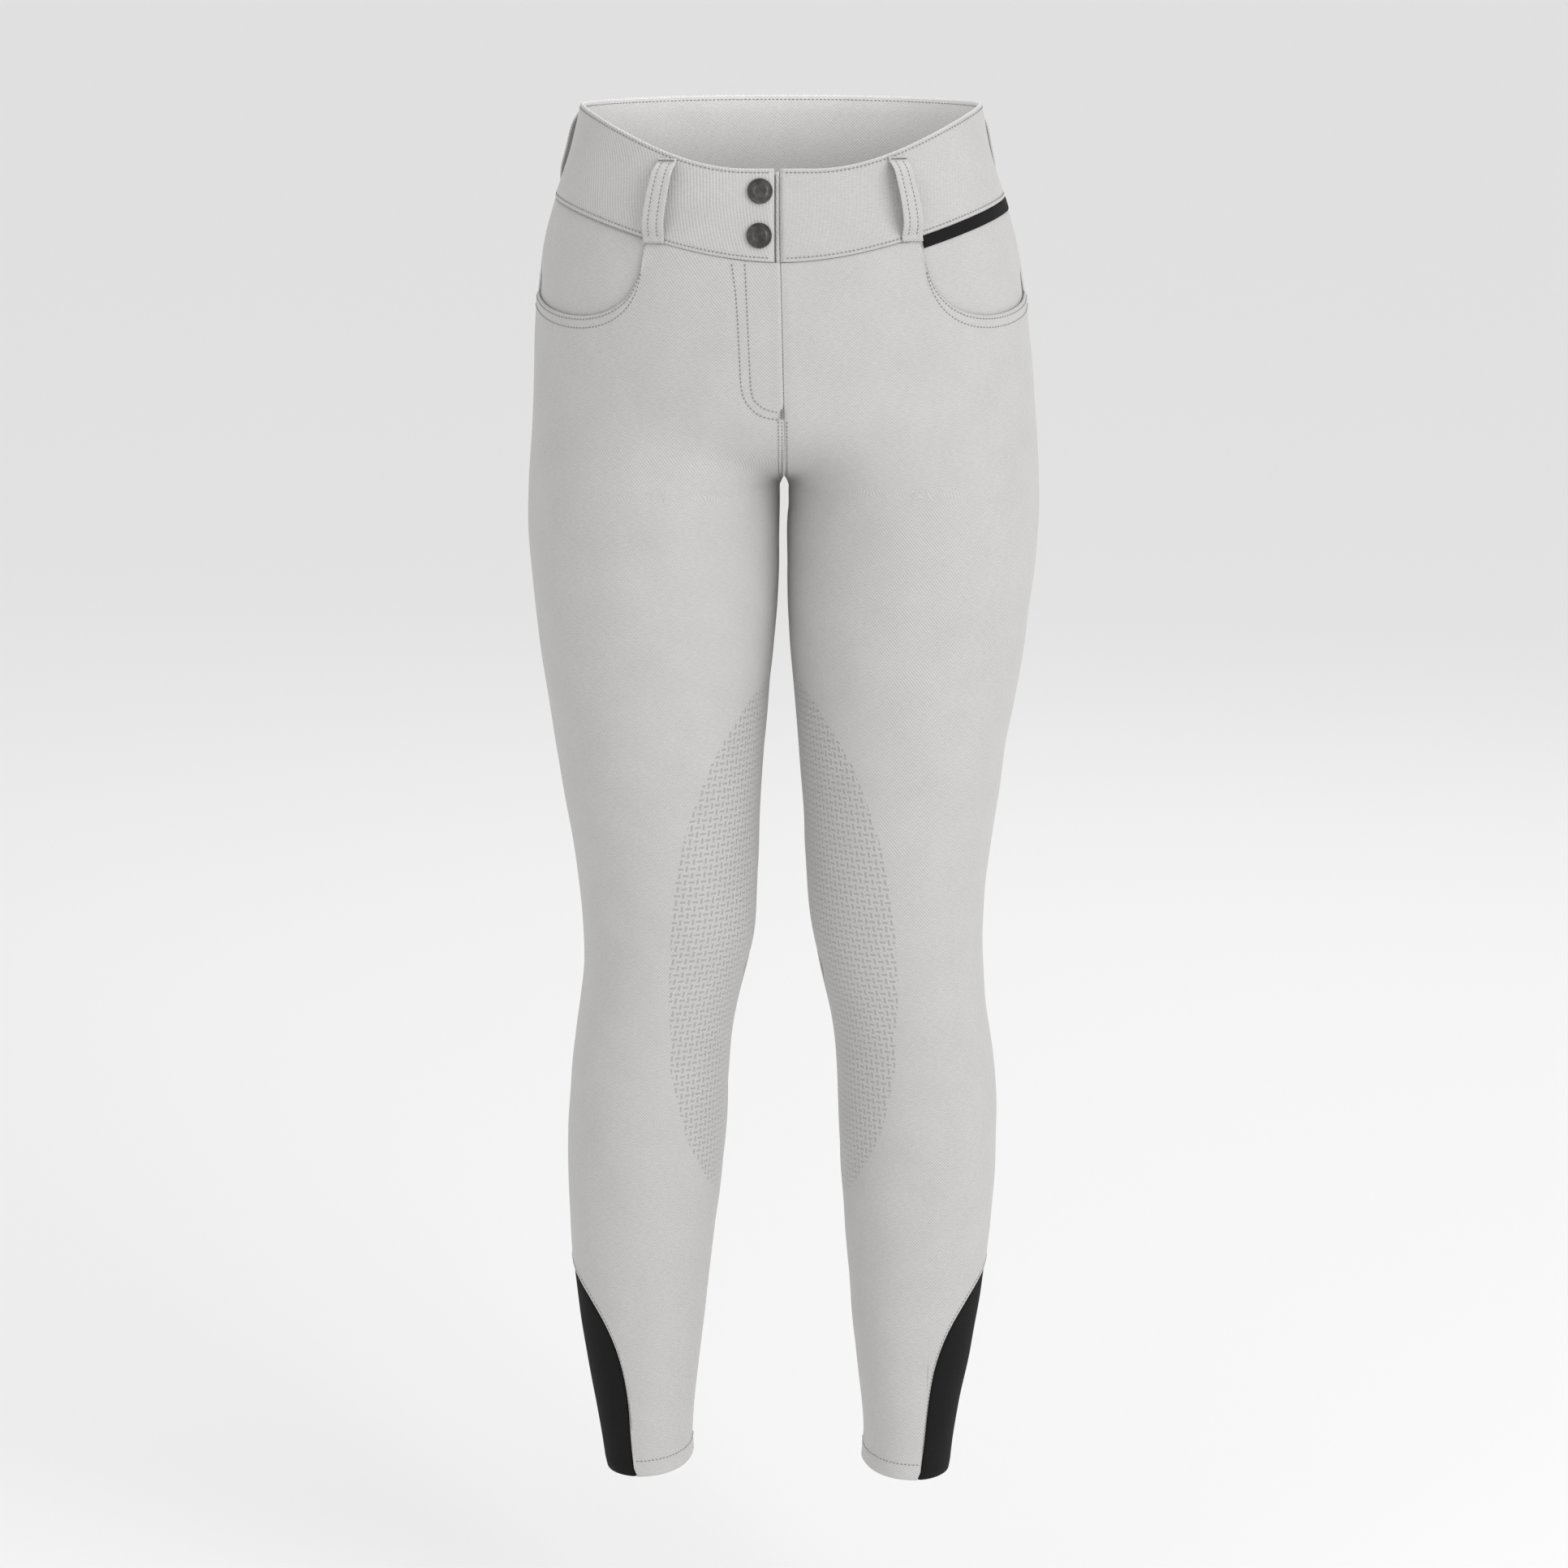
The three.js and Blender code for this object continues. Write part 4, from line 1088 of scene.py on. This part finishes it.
def makeLoop(name, node, side, middle, lift=(1, 1)):
    profile = curveThrough(loopProfile, 64)
    profile[:, 1] = np.clip(profile[:, 1], 0, 1.02)
    section = loopSection()
    start = float(topDrop(np.array(middle))) + beltLoop["topMargin"]
    length = float(footDrop(np.array(middle))) + beltLoop["footPast"] - start
    drop = (start + length * profile[:, 0])[:, None] + 0 * section[None, :, 0]
    scale = float((arcAt(middle * 0.99, 60.0) - arcAt(middle * 0.99 - 0.02, 60.0)) / 0.02)
    turn = middle + section[None, :, 0] / scale + 0 * drop
    past = turn > 1
    sides = np.where(past, -side, side)
    turn = np.where(past, 2 - turn, turn)
    thick = beltLoop["thickness"] + np.clip(profile[:, 2], 0, 2)[:, None]
    seat = cloth["bandProud"] + cloth["layerGap"]
    lifted = mix(*lift, section[None, :, 0] / beltLoop["width"] + 0.5)
    out = seat + beltLoop["standOff"] * lifted * profile[:, 1][:, None] + thick * section[None, :, 1]
    points = clothPoint(sides, turn, drop, out)
    uv = np.stack([np.broadcast_to(section[None, :, 0], drop.shape), -drop], axis=2)
    piece = outward(meshPiece(name, points.reshape(-1, 3), tubeFaces(*drop.shape), uv.reshape(-1, 2)))
    finishPiece(piece, plainTwill, "cloth", node)
    around, free = len(section), points[4:-3]
    for row in beltLoop["rows"]:
        k = int(np.argmin(np.abs(section[:11, 0] - row)))
        path = free[:, k]
        normals = np.cross(np.gradient(path, axis=0), free[:, k + 1] - free[:, k - 1])
        normals *= np.sign(np.einsum("ij,ij->i", normals, path - free[:, around - 5]))[:, None]
        normals /= np.linalg.norm(normals, axis=1)[:, None]
        sew(path, normals)
    along = points[2, 9] - points[2, 1]
    normal = np.cross(along, points[3, 5] - points[1, 5])
    normal *= np.sign(np.dot(normal, points[2, 5] - points[2, around - 5])) / np.linalg.norm(normal)
    barTack(points[2, 5], along, normal, beltLoop["width"] - 2.4, 1.1, 0.22)
    return piece


frontTurns = {side: pocketCorner(side) - beltLoop["width"] / 2 / 222 for side in (-1, 1)}
loopPieces = [
    makeLoop("loopFrontRight", "belt_loop_front_right", -1, frontTurns[-1], beltLoop["rightLift"]),
    makeLoop("loopFrontLeft", "belt_loop_front_left", 1, frontTurns[1], beltLoop["leftLift"]),
    makeLoop("loopBackRight", "belt_loop_back_right", -1, beltLoop["rightBackTurn"], beltLoop["backLift"]),
    makeLoop("loopBackLeft", "belt_loop_back_left", 1, beltLoop["leftBackTurn"]),
    makeLoop("loopCentreBack", "belt_loop_centre_back", 1, 1.0),
]
print("belt loops made")


# The fly's J of two stitched rows, and the tack across its foot.
def sewFly():
    for path in flyPaths.values():
        turn = turnAt(path[:, 0], path[:, 1])
        out = relief(-1, turn, path[:, 1]) + 0.26
        sewOnGarment(-1, turn, path[:, 1], out)
    foot = (-1, np.array([-0.995]), np.array([195.0]))
    normal = surface(*foot)["normal"][0] * (-1, 1, 1)
    barTack(clothPoint(*foot, 0.4)[0], np.array([0, 0.05, -1.0]), normal, 10, 2.2)


sewFly()


# The press studs: a capped disc with a rolled rim and a plain ring in its face.
stud = {"radius": 8.2, "height": 1.7, "offCentre": 12.8, "drops": (53, 81), "dish": 0.55}


def makeStud(name, node, drop):
    bpy.ops.object.select_all(action="DESELECT")
    bpy.ops.mesh.primitive_cylinder_add(vertices=64, radius=stud["radius"] / 1000, depth=stud["height"] / 1000)
    piece = bpy.context.active_object
    piece.name = name
    bpy.ops.object.mode_set(mode="EDIT")
    shape = bmesh.from_edit_mesh(piece.data)
    bpy.ops.mesh.select_all(action="DESELECT")
    bpy.ops.mesh.select_mode(type="FACE")
    shape.faces.ensure_lookup_table()
    for face in shape.faces:
        face.select_set(face.normal.z > 0.9)
    bmesh.update_edit_mesh(piece.data)
    for thickness, depth in ((0.35, 0.25), (0.5, 0.0), (0.35, -stud["dish"]), (2.2, 0.12),
                             (0.3, 0.18), (0.45, 0.0), (0.3, -0.18), (1.6, 0.06)):
        bpy.ops.mesh.inset(thickness=thickness / 1000, depth=depth / 1000)
    bpy.ops.object.mode_set(mode="OBJECT")
    bevel = piece.modifiers.new("softRim", "BEVEL")
    bevel.width = 0.00018
    bevel.segments = 2
    bevel.limit_method = "ANGLE"
    bpy.ops.object.modifier_apply(modifier=bevel.name)
    turn = turnAt(np.array([stud["offCentre"]]), np.array([60.0]))
    spot = (-1, turn, np.array([float(drop)]))
    normal = Vector(surface(*spot)["normal"][0] * (-1, 1, 1))
    seat = clothPoint(*spot, cloth["bandProud"] + cloth["layerGap"] + stud["height"] / 2)[0]
    piece.rotation_euler = Vector((0, 0, 1)).rotation_difference(normal).to_euler()
    piece.location = Vector(seat / 1000)
    bpy.ops.object.transform_apply(location=True, rotation=True, scale=True)
    bpy.ops.object.shade_smooth_by_angle(angle=math.radians(35))
    return finishPiece(piece, studMetal, "studs", node)


for place, drop in zip(("Upper", "Lower"), stud["drops"]):
    makeStud("stud" + place, "snap_" + place.lower(), drop)
print("press studs made")

stitching = meshPiece("stitching", np.vstack(stitchPoints), stitchFaces)
finishPiece(outward(stitching), threadPaintedShade, "cloth")
print("stitches", len(stitchPoints))


# A plain pale floor, soft studio light, and a camera where the photograph's was.
studio = {"floor": -1.12, "floorSize": 600, "key": 58, "fill": 8, "back": 12, "waist": 0.36, "world": 0.8}


def areaLight(name, place, target, size, power):
    light = bpy.data.lights.new(name, "AREA")
    light.shape = "RECTANGLE"
    light.size, light.size_y = size
    light.energy = power
    lamp = bpy.data.objects.new(name, light)
    bpy.context.scene.collection.objects.link(lamp)
    lamp.location = place
    lamp.rotation_euler = (Vector(target) - Vector(place)).to_track_quat("-Z", "Y").to_euler()
    lamp.visible_camera = False


bpy.ops.mesh.primitive_plane_add(size=studio["floorSize"], location=(0, 0, studio["floor"]))
floor = bpy.context.active_object
floor.name = "floor"
bpy.ops.object.transform_apply(location=True)
floorDyer = Dyer("floorPaper")
floor.data.materials.append(floorDyer.finish(**{"Base Color": (0.93, 0.93, 0.93, 1), "Roughness": 0.9}))

world = bpy.context.scene.world or bpy.data.worlds.new("studio")
bpy.context.scene.world = world
world.use_nodes = True
world.node_tree.nodes["Background"].inputs[0].default_value = (1, 1, 1, 1)
world.node_tree.nodes["Background"].inputs[1].default_value = studio["world"]

areaLight("keyLight", (2.3, -2.4, 0.9), (0, 0, -0.45), (2.2, 2.6), studio["key"])
areaLight("fillLight", (-2.6, -2.6, 0.4), (0, 0, -0.5), (2.4, 2.4), studio["fill"])
areaLight("backLight", (0.8, 2.8, 1.6), (0, 0, -0.3), (2.4, 1.6), studio["back"])
areaLight("waistLight", (0, -0.085, 0.1), (0, 0.1, 0.035), (0.16, 0.03), studio["waist"])

view = {"distance": 2.7, "height": 0.1, "pitch": 11.786, "lens": 91.92}
lens = bpy.data.cameras.new("camera")
lens.lens = view["lens"]
lens.sensor_width = 36
lens.clip_end = 100
camera = bpy.data.objects.new("camera", lens)
bpy.context.scene.collection.objects.link(camera)
camera.location = (0, -view["distance"], view["height"])
camera.rotation_euler = (math.radians(90 - view["pitch"]), 0, 0)
bpy.context.scene.camera = camera
bpy.context.scene.view_settings.view_transform = "Standard"
print("studio ready")
